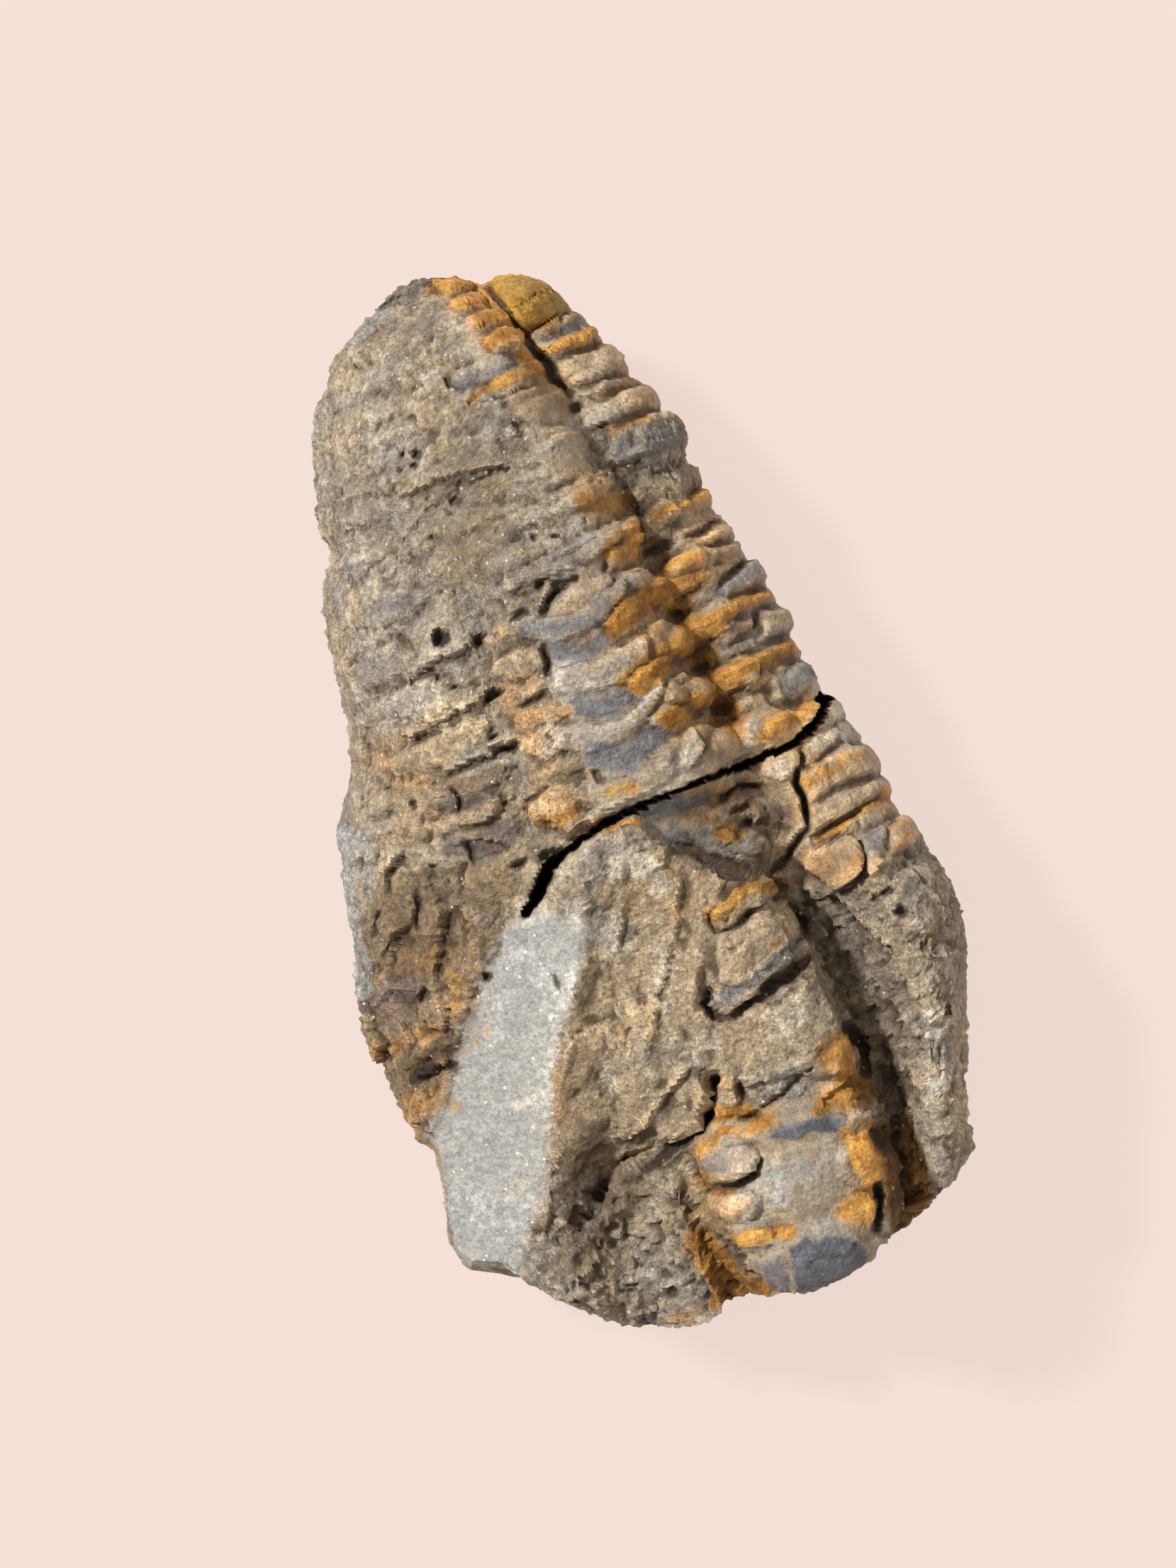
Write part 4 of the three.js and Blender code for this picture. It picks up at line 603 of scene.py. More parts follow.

# Washes that tint what they cover; lit and shaded are painted light and painted shade: line, half width,
# strength
WASHES_AND_PAINTED_LIGHT = {
    "rusty": [
        ([(3, 46), (5, 42), (6, 38), (7, 36)], 3, 0.6), ([(8, 45), (10, 42), (12, 38)], 3, 0.7),
        ([(13, 36), (15, 30)], 3, 0.3), ([(8.6, 25), (9, 18)], 2.6, 0.7),
        ([(8.4, 14), (9.4, 8), (9.4, 3)], 3.6, 0.9), ([(14, 21), (16, 17), (17, 11)], 3.6, 0.6),
        ([(17, 11), (18, 5), (18, -1)], 3.6, 0.6), ([(14, -5), (20, -6), (20, -13)], 4, 0.6),
        ([(9, -4.5), (13, -7)], 3, 0.5), ([(-3.6, 16), (-3.6, 10)], 2.4, 0.5),
        ([(-3.6, 10), (-3.6, 4), (-4, -1)], 2.6, 0.7), ([(-16, 9), (-14, 4), (-12, -1)], 4, 0.5),
        ([(-20, -5), (-22, -16), (-24, -22)], 5, 0.7), ([(-12, -4), (-18, -10)], 4, 0.7),
        ([(-4, -10), (2, -12), (-2, -20)], 4, 0.35), ([(-7, -18), (-10, -25)], 3, 0.3),
        ([(0, -31), (4, -32)], 2, 0.7), ([(12, -30), (12.4, -38), (10, -43)], 2.6, 0.9),
        ([(-2, -34), (-3, -40), (-3, -46)], 2.2, 0.9), ([(13.6, -37), (13.6, -44)], 2.6, 1),
        ([(8.5, -13.5), (8, -17)], 3, 0.6), ([(-2, 43), (-4, 36)], 3, 0.15),
        ([(1, -24), (4, -28)], 4, 0.25),
    ],
    "bluish": [
        ([(2, 16), (2.4, 8), (3, 1)], 3.8, 0.6), ([(2, 38), (4, 34)], 3, 0.3),
        ([(17, 13), (19, 8), (19, 3)], 2.4, 0.35), ([(6, -40), (6, -35)], 4.4, 0.8),
        ([(4, -45), (6, -45)], 3.6, 0.6), ([(-16, 26), (-14, 18)], 3.4, 0.3),
        ([(2, -3.6), (7, -5), (9, -10)], 2.4, 0.8), ([(-22.6, 2), (-25.2, -6)], 2.4, 0.7),
        ([(12, 27.4), (16, 27)], 1.6, 0.5), ([(0, 20), (6, 20.5)], 1.8, 0.4),
        ([(-2, 46.4), (-8, 43)], 2.4, 0.3), ([(-12, -2), (-9, -1)], 2.4, 0.4),
        ([(-5, -8), (-3, -5)], 2, 0.3), ([(5, -32), (9, -31)], 2, 0.4),
    ],
    "lit": [
        ([(-7, -16), (-9.4, -20), (-12, -25)], 3.6, 0.9), ([(4, -12), (0, -22), (6, -25)], 4.5, 0.45),
        ([(-2, -28), (-6, -30)], 3, 0.5), ([(-13, -29), (-16, -34)], 3, 0.5), ([(1, -7), (0, -10)], 3.4, 1),
        ([(21, -28), (20, -36)], 3, 1), ([(16.5, 30), (17.6, 22)], 2, 0.3),
        ([(-14, 27), (-14, 22), (-15.5, 18)], 3, 0.9), ([(-9, 42), (-11, 37)], 4, 0.5),
        ([(-9, 9), (-11, 10.6)], 2.4, 0.9), ([(4, 41.8), (2, 44)], 2, 0.4),
        ([(3.4, -21.2), (8, -20.5), (12, -18.8)], 1.2, 1), ([(6, -17), (11, -16.4)], 2.2, 0.3),
        ([(-1, -18), (-4, -22)], 3, 1.2),
        ([(0.4, -39), (-1.6, -38.6)], 1.6, 0.4), ([(7.6, -35.8), (4, -36.4)], 0.8, 0.3),
        ([(12, -37), (11.6, -41)], 1.6, 0.7), ([(7.5, 9.6), (7.5, 8.4)], 1.3, 0.6),
        ([(-5, 5.8), (-3, 6.4), (-4, 0)], 2, 0.6), ([(-17, -13), (-19, -15)], 2, 0.2),
        ([(-22, -10), (-24, -13)], 2, 0.4),
    ],
    "shaded": [
        ([(-1, 30), (-3, 24)], 5, 0.46), ([(-24, -7), (-19, -7)], 4, 0.3),
        ([(7.6, -5.4), (11, -6)], 3, 0.8), ([(5, -7), (7.4, -9.6), (9.4, -11)], 1.1, 0.8),
        ([(11.4, 17.6), (11.8, 13)], 0.8, 0.5), ([(8.6, 33), (10.2, 29.6)], 1.6, 0.5),
        ([(11, 25), (11.4, 20)], 2, 0.7), ([(11.4, 18), (11.8, 12)], 1.6, 0.6),
        ([(12, 12), (12, 7), (12.6, 3)], 1.8, 0.7), ([(8, -5), (13, -7), (10, -10)], 3.2, 0.9),
        ([(15, -17), (16, -26), (15.5, -35)], 3.4, 0.4), ([(13.4, -38), (14, -44)], 1.8, 0.6),
        ([(-24, -18.6), (-20, -17)], 1.3, 0.8), ([(16, -12.6), (19, -13)], 1.6, 0.35),
        ([(-9, -34.4), (-15, -38)], 2.4, 0.7), ([(-6, -33.6), (-1, -31.6)], 0.8, 0.6),
        ([(-9, -6), (-4, -3.6)], 1, 0.4), ([(-9.6, -23), (-12, -29)], 3, 0.25),
        ([(-9.6, 24), (-6, 25)], 1.2, 0.1), ([(4, -34.2), (10, -34.6)], 0.9, 0.4),
        ([(-12, 4), (-9, 2)], 1.6, 0.3), ([(6, 37), (7.4, 35)], 1, 0.6),
    ],
}

# ---------------------------------------------------------------- zones of the surface
ZONE_EDGE = 0.8  # half the width of the change from one kind of surface to the next
SHELL_OUTLINE = [(1, 48.5), (4.5, 47.2), (12.5, 41.5), (22, 12), (25, -2), (28, -12), (20, -15.5),
                 (13.5, -14), (12.8, -12.4), (7.5, -11), (4.5, -6.5), (1, -4), (-1, -2.5), (-1, 14),
                 (1, 16.5), (5, 19), (5, 26), (4, 31), (3.5, 36), (1, 40)]
# Rings worn down to rough rock: line, half width
ROUGH_RINGS = [([(11, 27.4), (17, 26)], 2.6), ([(13, 23.4), (18, 23)], 1.4), ([(11.5, 24.5), (12, 20)], 1.4)]
GLABELLA_OUTLINE = [(-3, -32.4), (-2.6, -36), (-2.8, -38.5), (-2, -42), (-1, -45), (0.5, -48.5),
                    (9.5, -48.5), (11.5, -42), (13.2, -39), (12.8, -37), (15.2, -35), (15, -32),
                    (14.4, -28), (11, -28), (8, -31.5), (0.5, -31)]
FACET_OUTLINE = [(-10.9, -8.8), (-8.5, -8.8), (-5.2, -10.2), (-5, -12), (-6.8, -14.4), (-9.4, -17.8),
                 (-11.4, -20.6), (-12.6, -23.5), (-14, -27), (-15.8, -31), (-18.6, -35), (-21, -39),
                 (-28, -38), (-28, -26), (-23.4, -23), (-21, -20.4), (-19.2, -17.4), (-17.6, -14),
                 (-15, -12.6), (-14.4, -11.2), (-12.8, -9.8)]
SLAB_OUTLINE = [(-5, -11), (-2, -5.6), (4.4, -6.6), (7.3, -10.8), (12.6, -12.4), (13.4, -20), (14.2, -27),
                (10, -29), (1.2, -28), (-0.6, -31), (-10, -33.4), (-16, -29), (-8, -16)]
# Rough hollows: line, half width
HOLLOWS = [([(-15, -37.5), (-7, -36.5)], 4), ([(-14, -43), (-6, -44)], 5),
           ([(15.4, -16), (16.4, -24), (16, -34)], 3.6)]
BROWN_OUTLINE = [(-12, -9.2), (-11, -6), (-13, -3), (-18, -1.6), (-22, -2.4), (-25.6, -6), (-28, -10),
                 (-28, -24), (-24.6, -25), (-19.5, -17.5)]


# ---------------------------------------------------------------- small maths
def stations(table, at):
    """Value on a line through (position, value) stations in rising order."""
    where, value = zip(*table)
    return np.interp(at, where, value)


def rise(low, high, at):
    """Smooth rise from 0 at low to 1 at high."""
    share = np.clip((at - low) / (high - low), 0, 1)
    return share * share * (3 - 2 * share)


def spline(points, shares):
    """Points at the given shares of the length of a Catmull-Rom curve through points."""
    p = np.array(points, float)
    p = np.vstack([p[:1], p, p[-1:]])
    t = np.linspace(0, 1, 16, endpoint=False)[:, None]
    pieces = []
    for a, b, c, d in zip(p, p[1:], p[2:], p[3:]):
        v0 = (c - a) / 2
        v1 = (d - b) / 2
        pieces.append((2 * b - 2 * c + v0 + v1) * t**3 + (3 * c - 3 * b - 2 * v0 - v1) * t**2 + v0 * t + b)
    line = np.vstack(pieces + [p[-1:]])
    length = np.concatenate([[0], np.cumsum(np.hypot(*np.diff(line, axis=0).T))])
    return np.stack([np.interp(shares, length / length[-1], line[:, k]) for k in (0, 1)], -1)


def along(line, x, y):
    """Distance to a line through points, signed side (left is positive) and share of the way along it."""
    nearest = np.full(x.shape, 1e9)
    side = np.zeros(x.shape)
    share = np.zeros(x.shape)
    lengths = [math.dist(a[:2], b[:2]) for a, b in zip(line, line[1:])]
    done = 0
    for (ax, ay), (bx, by), length in zip([p[:2] for p in line], [p[:2] for p in line[1:]], lengths):
        dx, dy = bx - ax, by - ay
        t = np.clip(((x - ax) * dx + (y - ay) * dy) / length**2, 0, 1)
        distance = np.hypot(x - ax - t * dx, y - ay - t * dy)
        closer = distance < nearest
        nearest = np.where(closer, distance, nearest)
        side = np.where(closer, np.sign(dx * (y - ay) - dy * (x - ax)), side)
        share = np.where(closer, (done + t * length) / sum(lengths), share)
        done += length
    return nearest, side, share


def depth_inside(outline, x, y):
    """How far (x, y) lies inside a closed outline; negative outside it."""
    within = np.zeros(x.shape, bool)
    for (ax, ay), (bx, by) in zip(outline, outline[1:] + outline[:1]):
        crosses = ((ay > y) != (by > y)) & (x < ax + (y - ay) / (by - ay + 1e-12) * (bx - ax))
        within ^= crosses
    distance = along(outline + outline[:1], x, y)[0]
    return np.where(within, distance, -distance)


def dome(x, y, middle, half, turn=0.0):
    """Round hill of height 1 in an ellipse, 0 outside it."""
    c, s = math.cos(math.radians(turn)), math.sin(math.radians(turn))
    dx, dy = x - middle[0], y - middle[1]
    r2 = ((c * dx + s * dy) / half[0]) ** 2 + ((c * dy - s * dx) / half[1]) ** 2
    return np.sqrt(np.clip(1 - r2, 0, 1))


# ---------------------------------------------------------------- repeatable noise
def chance(cells, seed):
    """A repeatable random number from 0 to 1 for each whole-number cell (..., 3)."""
    x, y, z = np.moveaxis((cells + 4096).astype(np.uint32), -1, 0)
    n = x * np.uint32(374761393) + y * np.uint32(668265263) + z * np.uint32(2246822519)
    n = n + np.uint32((seed * 3266489917) & 0xFFFFFFFF)
    n = (n ^ (n >> np.uint32(15))) * np.uint32(2654435761)
    n = (n ^ (n >> np.uint32(13))) * np.uint32(1274126177)
    return ((n ^ (n >> np.uint32(16))) & np.uint32(0xFFFFFF)).astype(float) / 0xFFFFFF


def smooth_noise(points, size, seed):
    """Smooth noise from -1 to 1 with bumps of about the given size."""
    p = points / size
    cell = np.floor(p)
    f = p - cell
    f = f * f * (3 - 2 * f)
    total = 0
    for corner in np.ndindex(2, 2, 2):
        weight = np.prod(np.where(corner, f, 1 - f), axis=-1)
        total = total + weight * chance(cell + np.array(corner), seed)
    return 2 * total - 1


def rough_noise(points, size, seed, octaves=4):
    """Noise with finer bumps added, each half as wide and high as the last."""
    return sum(smooth_noise(points, size / 2**k, seed + k) / 2**k for k in range(octaves)) / 1.6


def chips(points, size, seed, tilt=0.35, step=0.15):
    """Height of a surface broken into flat, randomly tilted chips of about the given size."""
    p = points / size
    cell = np.floor(p)
    nearest = np.full(p.shape[:-1], 9.0)
    height = np.zeros(p.shape[:-1])
    for offset in np.ndindex(3, 3, 3):
        c = cell + np.array(offset) - 1
        away = p - c - np.stack([chance(c, seed + k) for k in range(3)], -1)
        distance = np.linalg.norm(away, axis=-1)
        slope = np.stack([chance(c, seed + 3 + k) for k in range(3)], -1) * 2 - 1
        own = tilt * size * (away * slope).sum(-1) + step * size * (chance(c, seed + 7) - 0.5)
        closer = distance < nearest
        height = np.where(closer, own, height)
        nearest = np.where(closer, distance, nearest)
    return height


STREAK_TURN = -28  # the broken block is grained along this direction, in degrees from Y


def turned(points, degrees):
    """Points turned about Z, so that Y runs along a grain."""
    c, s = math.cos(math.radians(degrees)), math.sin(math.radians(degrees))
    x, y, z = points.T
    return np.stack([c * x + s * y, c * y - s * x, z], -1)


# ---------------------------------------------------------------- main forms
LEFT_EDGE = sorted((y, x) for x, y in LEFT_CURVE + [(TAIL_REACH[0], TAIL_Y), (HEAD_REACH[0], HEAD_Y)])
RIGHT_EDGE = sorted((y, x) for x, y in RIGHT_CURVE + [(TAIL_REACH[1], TAIL_Y), (HEAD_REACH[1], HEAD_Y)])


def plan(across, lengthwise):
    """Plan positions inside the outline, for shares across (columns) and lengthwise (rows)."""
    left = spline(LEFT_CURVE, lengthwise)[:, None]
    right = spline(RIGHT_CURVE, lengthwise)[:, None]
    tail = spline(TAIL_CURVE, across)[None]
    head = spline(HEAD_CURVE, across)[None]
    u = across[None, :, None]
    v = lengthwise[:, None, None]
    tail_left, tail_right = np.array(TAIL_CURVE[0]), np.array(TAIL_CURVE[-1])
    head_left, head_right = np.array(HEAD_CURVE[0]), np.array(HEAD_CURVE[-1])
    corners = (1 - v) * ((1 - u) * tail_left + u * tail_right) + v * ((1 - u) * head_left + u * head_right)
    return (1 - u) * left + u * right + (1 - v) * tail + v * head - corners


def vault(x, y):
    """Height of the plain back: a crest line that falls away to a rim on each side."""
    middle = stations(AXIS_MIDDLE, y)
    on_left = x < middle
    edge = np.where(on_left, stations(LEFT_EDGE, y), stations(RIGHT_EDGE, y))
    rim = np.where(on_left, stations(LEFT_RIM, y), stations(RIGHT_RIM, y))
    out = np.clip((x - middle) / (edge - middle), 0, 1)
    return rim + (stations(CREST, y) - rim) * (1 - out * out) ** VAULT_POWER


def segment_step(x, y):
    """Sawtooth of the overlapping segments: each rises towards the tail and ends in a sharp rear edge."""
    shifted = y - stations(EDGE_SHIFT, x)
    edges = np.array(SEGMENT_EDGES)
    i = np.clip(np.searchsorted(edges, shifted), 1, len(edges) - 1)
    share = (shifted - edges[i - 1]) / (edges[i] - edges[i - 1])
    wave = np.minimum(share, (1 - share) * REAR_EDGE_FALL) - STEP_MEAN
    return np.where((shifted > edges[0]) & (shifted < edges[-1]), wave, 0)


def thorax(x, y):
    """Hump, furrows and ring steps of the animal's back, to be added to the plain back."""
    middle = stations(AXIS_MIDDLE, y)
    half = stations(AXIS_HALF_WIDTH, y)
    side = (x - middle) / half
    front = rise(THORAX_FRONT_Y - 0.6, THORAX_FRONT_Y + 0.6, y)
    buried = rise(CRUSTED_FROM_Y - CRUST_EDGE, CRUSTED_FROM_Y + CRUST_EDGE, y)
    clear = np.maximum(1 - buried, rise(*CRUST_ENDS, x))
    shown = BURIED_HUMP_SHARE + (1 - BURIED_HUMP_SHARE) * clear
    hump = AXIS_HUMP * np.sqrt(np.clip(1 - side * side, 0, 1)) * shown
    right = RIGHT_FURROW_DEPTH * np.exp(-(((x - middle - half) / FURROW_HALF_WIDTH) ** 2))
    left = LEFT_FURROW_DEPTH * np.exp(-(((x - middle + half) / FURROW_HALF_WIDTH) ** 2))
    ribs = RIB_STEP * segment_step(x, y) * clear * rise(*STEPS_BEGIN, x) * (1 - rise(*STEPS_END, x))
    return front * (hump - right - clear * left + ribs)


def tilted(face, x, y):
    """Height of a plane given by its height at the block's crest and its slopes along x and y."""
    return face[0] + face[1] * (x - BLOCK_CREST[0]) + face[2] * (y - BLOCK_CREST[1])


def block(x, y):
    """Height of the broken block: two faces that meet in a crest, and the slab beside them."""
    inner = np.maximum(tilted(BLOCK_INNER_FACE, x, y), BLOCK_FLOOR)
    slab = np.minimum(tilted(SLAB_FLANK, x, y), tilted(SLAB_TOP, x, y))
    return np.maximum(np.minimum(tilted(BLOCK_OUTER_FACE, x, y), inner), slab)


def top_height(x, y):
    """Height of the stone's top with all its main forms."""
    z = vault(x, y) + thorax(x, y)
    share = rise(-BLOCK_EDGE, BLOCK_EDGE, depth_inside(BLOCK_OUTLINE, x, y))
    z = z + (block(x, y) - z) * share
    for line, half_width, depth in TRENCHES:
        z = z - depth * (1 - rise(0, half_width, along(line, x, y)[0]))
    head = dome(x, y, GLABELLA["middle"], GLABELLA["half"])
    glabella = GLABELLA["foot"] + GLABELLA["rise"] * head ** GLABELLA["power"]
    z = np.where(head > 0, np.maximum(z, glabella), z)
    neck = dome(x, y, NECK["middle"], NECK["half"])
    z = np.where(neck > 0, np.maximum(z, NECK["height"] * neck ** NECK["power"]), z)
    for lobe_x, lobe_y, half_x, half_y, lobe_rise in LOBES:
        z = z + lobe_rise * dome(x, y, (lobe_x, lobe_y), (half_x, half_y))
    return z


def wall(rim_xy, rim_z, down, end_taper):
    """Wall points below a rim, for depths down from 0 at the rim to 1 at the base."""
    size = (1 + WALL_BULGE * np.sin(np.pi * down) - BASE_TAPER * down * down)[None]
    x = rim_xy[:, :1] * (size - end_taper[:, None] * down * down)
    y = rim_xy[:, 1:] * size
    return np.stack([x, y, rim_z[:, None] * (1 - down)], -1)


def skin_rows():
    """All rows of the skin (rows, columns, 3), and each column's depth: 0 on top, 1 at the base."""
    lengthwise = np.linspace(0, 1, ROWS)
    swing = np.pi * np.linspace(RIM_CROWDING, 1 - RIM_CROWDING, TOP_COLUMNS)
    across = (np.cos(swing[0]) - np.cos(swing)) / (2 * np.cos(swing[0]))
    flat = plan(across, lengthwise)
    z = top_height(flat[..., 0], flat[..., 1])
    top = np.concatenate([flat, z[..., None]], -1)
    down = np.arange(1, WALL_COLUMNS + 1) / (WALL_COLUMNS + 1)
    end_taper = END_TAPER * (2 * lengthwise - 1) ** END_TAPER_POWER
    right = wall(flat[:, -1], z[:, -1], down, end_taper)
    left = wall(flat[:, 0], z[:, 0], down[::-1], end_taper)
    under = plan(np.linspace(1, 0, BASE_COLUMNS), lengthwise) * (1 - BASE_TAPER)
    under[..., 0] *= ((1 - BASE_TAPER - end_taper) / (1 - BASE_TAPER))[:, None]
    base = np.concatenate([under, np.zeros(under.shape[:2] + (1,))], -1)
    depth = np.concatenate([np.zeros(TOP_COLUMNS), down, np.ones(BASE_COLUMNS), down[::-1]])
    return np.concatenate([top, right, base, left], 1), depth


def end_rings(pole, rim):
    """Rings of a domed end face, from just off the pole out to just inside the end row."""
    out = (np.arange(1, END_RINGS + 1) / (END_RINGS + 1))[:, None] ** END_CROWDING
    pole = np.array(pole, float)
    plain = rim.copy()
    plain[:, 2] = np.minimum(rim[:, 2], vault(rim[:, 0], rim[:, 1]))
    target = plain + (rim - plain) * (out * out)[..., None]
    rings = pole + (target - pole) * out[..., None]
    rings[..., 1] = pole[1] + (rim[None, :, 1] - pole[1]) * out**END_POWER
    return rings


# ---------------------------------------------------------------- the mesh
def grid_faces(rows, columns):
    """Quads between rings, each closed on itself, with a fan of triangles round a pole at each end."""
    ring = np.arange(columns)
    nxt = (ring + 1) % columns
    faces = []
    for r in range(rows - 1):
        a = r * columns
        faces += np.stack([a + ring, a + nxt, a + columns + nxt, a + columns + ring], -1)[:, ::-1].tolist()
    first_pole = rows * columns
    last = (rows - 1) * columns
    faces += [[first_pole, int(i), int(j)] for i, j in zip(ring, nxt)]
    faces += [[first_pole + 1, int(last + j), int(last + i)] for i, j in zip(ring, nxt)]
    return faces


def build_mesh(points, faces):
    """A mesh of the given points and faces."""
    mesh = bpy.data.meshes.new("trilobite_fossil_skin")
    mesh.from_pydata(points.tolist(), [], faces)
    mesh.update()
    return mesh


def normals_of(mesh):
    """Normals at the mesh's points."""
    flat = np.empty(len(mesh.vertices) * 3)
    mesh.vertex_normals.foreach_get("vector", flat)
    return flat.reshape(-1, 3)


# ---------------------------------------------------------------- relief
def zone_weights(x, y, on_top, upward):
    """Share of each kind of surface at each point; what is left over is gritty matrix."""
    shell = rise(-ZONE_EDGE, ZONE_EDGE, depth_inside(SHELL_OUTLINE, x, y))
    for line, half_width in ROUGH_RINGS:
        shell = shell * rise(0.7 * half_width, 1.2 * half_width, along(line, x, y)[0])
    head = rise(-0.6, 0.6, depth_inside(GLABELLA_OUTLINE, x, y))
    head = head * (0.3 + 0.7 * rise(0.25, 0.7, upward))
    facet = rise(-1.1, 1.0, depth_inside(FACET_OUTLINE, x, y)) * on_top
    slab = rise(-ZONE_EDGE, ZONE_EDGE, depth_inside(SLAB_OUTLINE, x, y)) * on_top
    brown = rise(-ZONE_EDGE, ZONE_EDGE, depth_inside(BROWN_OUTLINE, x, y))
    hollow = np.zeros(x.shape)
    for line, half_width in HOLLOWS:
        hollow = np.maximum(hollow, 1 - rise(0.7 * half_width, 1.2 * half_width, along(line, x, y)[0]))
    hollow = hollow * (1 - head) * (1 - slab) * (1 - facet)
    shell = np.maximum(shell, head)
    return dict(shell=shell, facet=facet, slab=slab * (1 - facet), brown=brown, hollow=hollow)


def grit(points, zones, depth):
    """Fine unevenness along the normal.

    Each noise is given its size in millimetres and its seed; the factors are heights in millimetres.
    """
    swirl = np.stack([rough_noise(points, 2.2, seed) for seed in (11, 21, 31)], -1)
    moved = points + 0.5 * swirl
    scabs = chips(moved * (0.75, 1.15, 1), 2.6, 41)
    crumbs = chips(moved, 0.95, 51, 0.55, 0.25)
    coarse = rough_noise(points, 6.5, 61)
    fine = rough_noise(points, 0.9, 71, 2)
    holes = np.clip(rough_noise(points, 1.5, 141, 3) - 0.28, 0, 1)
    # the rock splits in thin beds that crop out across the back and round the walls
    beds = (points[:, 1] + 0.25 * points[:, 2] + 2.2 * rough_noise(points * (0.4, 1, 1), 4.5, 81)) / 2.3
    layered = (points[:, 2] + 2.4 * rough_noise(points * (0.5, 0.5, 1), 6, 91)) / 2.6
    bed = beds - np.floor(beds)
    layer = layered - np.floor(layered)
    on_wall = rise(0, 0.12, depth)
    ledge = (1 - on_wall) * (1 - bed) * 0.34 + on_wall * layer * 0.6
    patch = rise(-0.2, 0.4, rough_noise(points, 5, 101))
    streaks = rough_noise(turned(points, STREAK_TURN) * (1, 0.28, 1), 2.4, 121)
    flakes = chips(turned(moved, STREAK_TURN) * (1, 0.5, 0.6), 3.4, 131, 0.4, 0.2)
    matrix = 0.4 * coarse + 0.4 * scabs + 0.4 * crumbs + 0.16 * fine - 0.5 * holes + 0.7 * ledge * patch
    kinds = dict(
        slab=0.5 * coarse + 0.3 * flakes + 0.28 * crumbs + 0.2 * fine + 0.8 * streaks - 0.2 * holes,
        facet=0.15 * coarse + 0.12 * scabs + 0.16 * crumbs + 0.06 * fine + 0.08 * streaks,
        hollow=0.4 * coarse + 0.6 * scabs + 0.8 * crumbs + 0.15 * fine - 1.1 * holes,
        brown=0.45 * coarse + 0.7 * flakes + 0.5 * crumbs + 0.2 * fine - 0.6 * holes + 0.5 * ledge * patch,
        shell=0.12 * coarse + 0.15 * scabs + 0.18 * crumbs + 0.06 * fine - 0.1 * holes,
    )
    out = matrix
    for zone, kind in kinds.items():
        out = out + (kind - out) * zones[zone]
    return out


def relief(x, y, on_top, uneven):
    """Bars, swellings, plates and ledges along the normal; the bars are worn unevenly."""
    out = np.zeros(x.shape)
    for line, half_width, height in RING_BARS:
        distance = along(line, x, y)[0]
        out = np.maximum(out, height * np.sqrt(np.clip(1 - (distance / half_width) ** 2, 0, 1)))
    out = out * uneven
    for sx, sy, half_x, half_y, turn, height in SWELLINGS:
        out = out + on_top * height * dome(x, y, (sx, sy), (half_x, half_y), turn) ** SWELLING_POWER
    for outline, height, edge, tilt, _, _ in PLATES:
        middle = np.mean(outline, axis=0)
        own = height + tilt[0] * (x - middle[0]) + tilt[1] * (y - middle[1])
        out = out + on_top * PLATE_RISE * own * plate_share(outline, x, y, edge)
    for line, height, reach in LEDGES:
        distance, side, share = along(line, x, y)
        ends = rise(0, LEDGE_ENDS, share) * (1 - rise(1 - LEDGE_ENDS, 1, share))
        raised = np.where(side > 0, np.exp(-distance / reach), 0) * height
        out = out + on_top * ends * raised
    return out


def sunk(x, y):
    """Depth of the cracks and pits, straight down."""
    out = np.zeros(x.shape)
    nearest = np.full(x.shape, 1e9)
    half = np.zeros(x.shape)
    for a, b in zip(OPEN_CRACK, OPEN_CRACK[1:]):
        distance, _, share = along([a[:2], b[:2]], x, y)
        closer = distance < nearest
        half = np.where(closer, a[2] + (b[2] - a[2]) * share, half)
        nearest = np.where(closer, distance, nearest)
    profile = (1 - rise(half, half + CRACK_SLOPE, nearest)) * rise(0, 0.2, half)
    out = np.maximum(out, OPEN_CRACK_DEPTH * profile)
    for line, half_width, depth in CRACKS:
        distance, _, share = along(line, x, y)
        taper = CRACK_TIP + (1 - CRACK_TIP) * np.sin(np.pi * np.clip(share, 0.04, 0.96)) ** 0.5
        profile = 1 - rise(0.3 * half_width, 1.6 * half_width + CRACK_SLOPE, distance)
        out = np.maximum(out, depth * taper * profile)
    for px, py, half_x, half_y, depth in PITS:
        size = (half_x * PIT_SPREAD, half_y * PIT_SPREAD)
        out = np.maximum(out, PIT_DEPTH * depth * dome(x, y, (px, py), size) ** PIT_POWER)
    return out


def blurred(grid, radius):
    """Mean over a square of grid steps; columns close on themselves."""
    out = np.mean([np.roll(grid, k, axis=1) for k in range(-radius, radius + 1)], axis=0)
    padded = np.pad(out, ((radius, radius), (0, 0)), mode="edge")
    return np.mean([padded[k:k + grid.shape[0]] for k in range(2 * radius + 1)], axis=0)


def plate_share(outline, x, y, edge):
    """1 inside an outline and 0 outside, over an edge as wide as given."""
    low, high = np.min(outline, axis=0) - edge, np.max(outline, axis=0) + edge
    near = (x > low[0]) & (x < high[0]) & (y > low[1]) & (y < high[1])
    out = np.zeros(x.shape)
    out[near] = rise(-0.3 * edge, 0.7 * edge, depth_inside(outline, x[near], y[near]))
    return out


def as_seen(points):
    """X and Y as seen from above: the lists of small forms give places at the height of the back."""
    share = (EYE[2] - BACK_HEIGHT) / (EYE[2] - points[:, 2:])
    return np.array(EYE[:2]) + (points[:, :2] - np.array(EYE[:2])) * share


def painted(strokes, x, y, inner, outer):
    """Strength of a list of strokes, each full and nil at these shares of its half width."""
    out = np.zeros(x.shape)
    for line, half_width, strength in strokes:
        distance = along(line, x, y)[0]
        out = np.maximum(out, strength * (1 - rise(inner * half_width, outer * half_width, distance)))
    return out


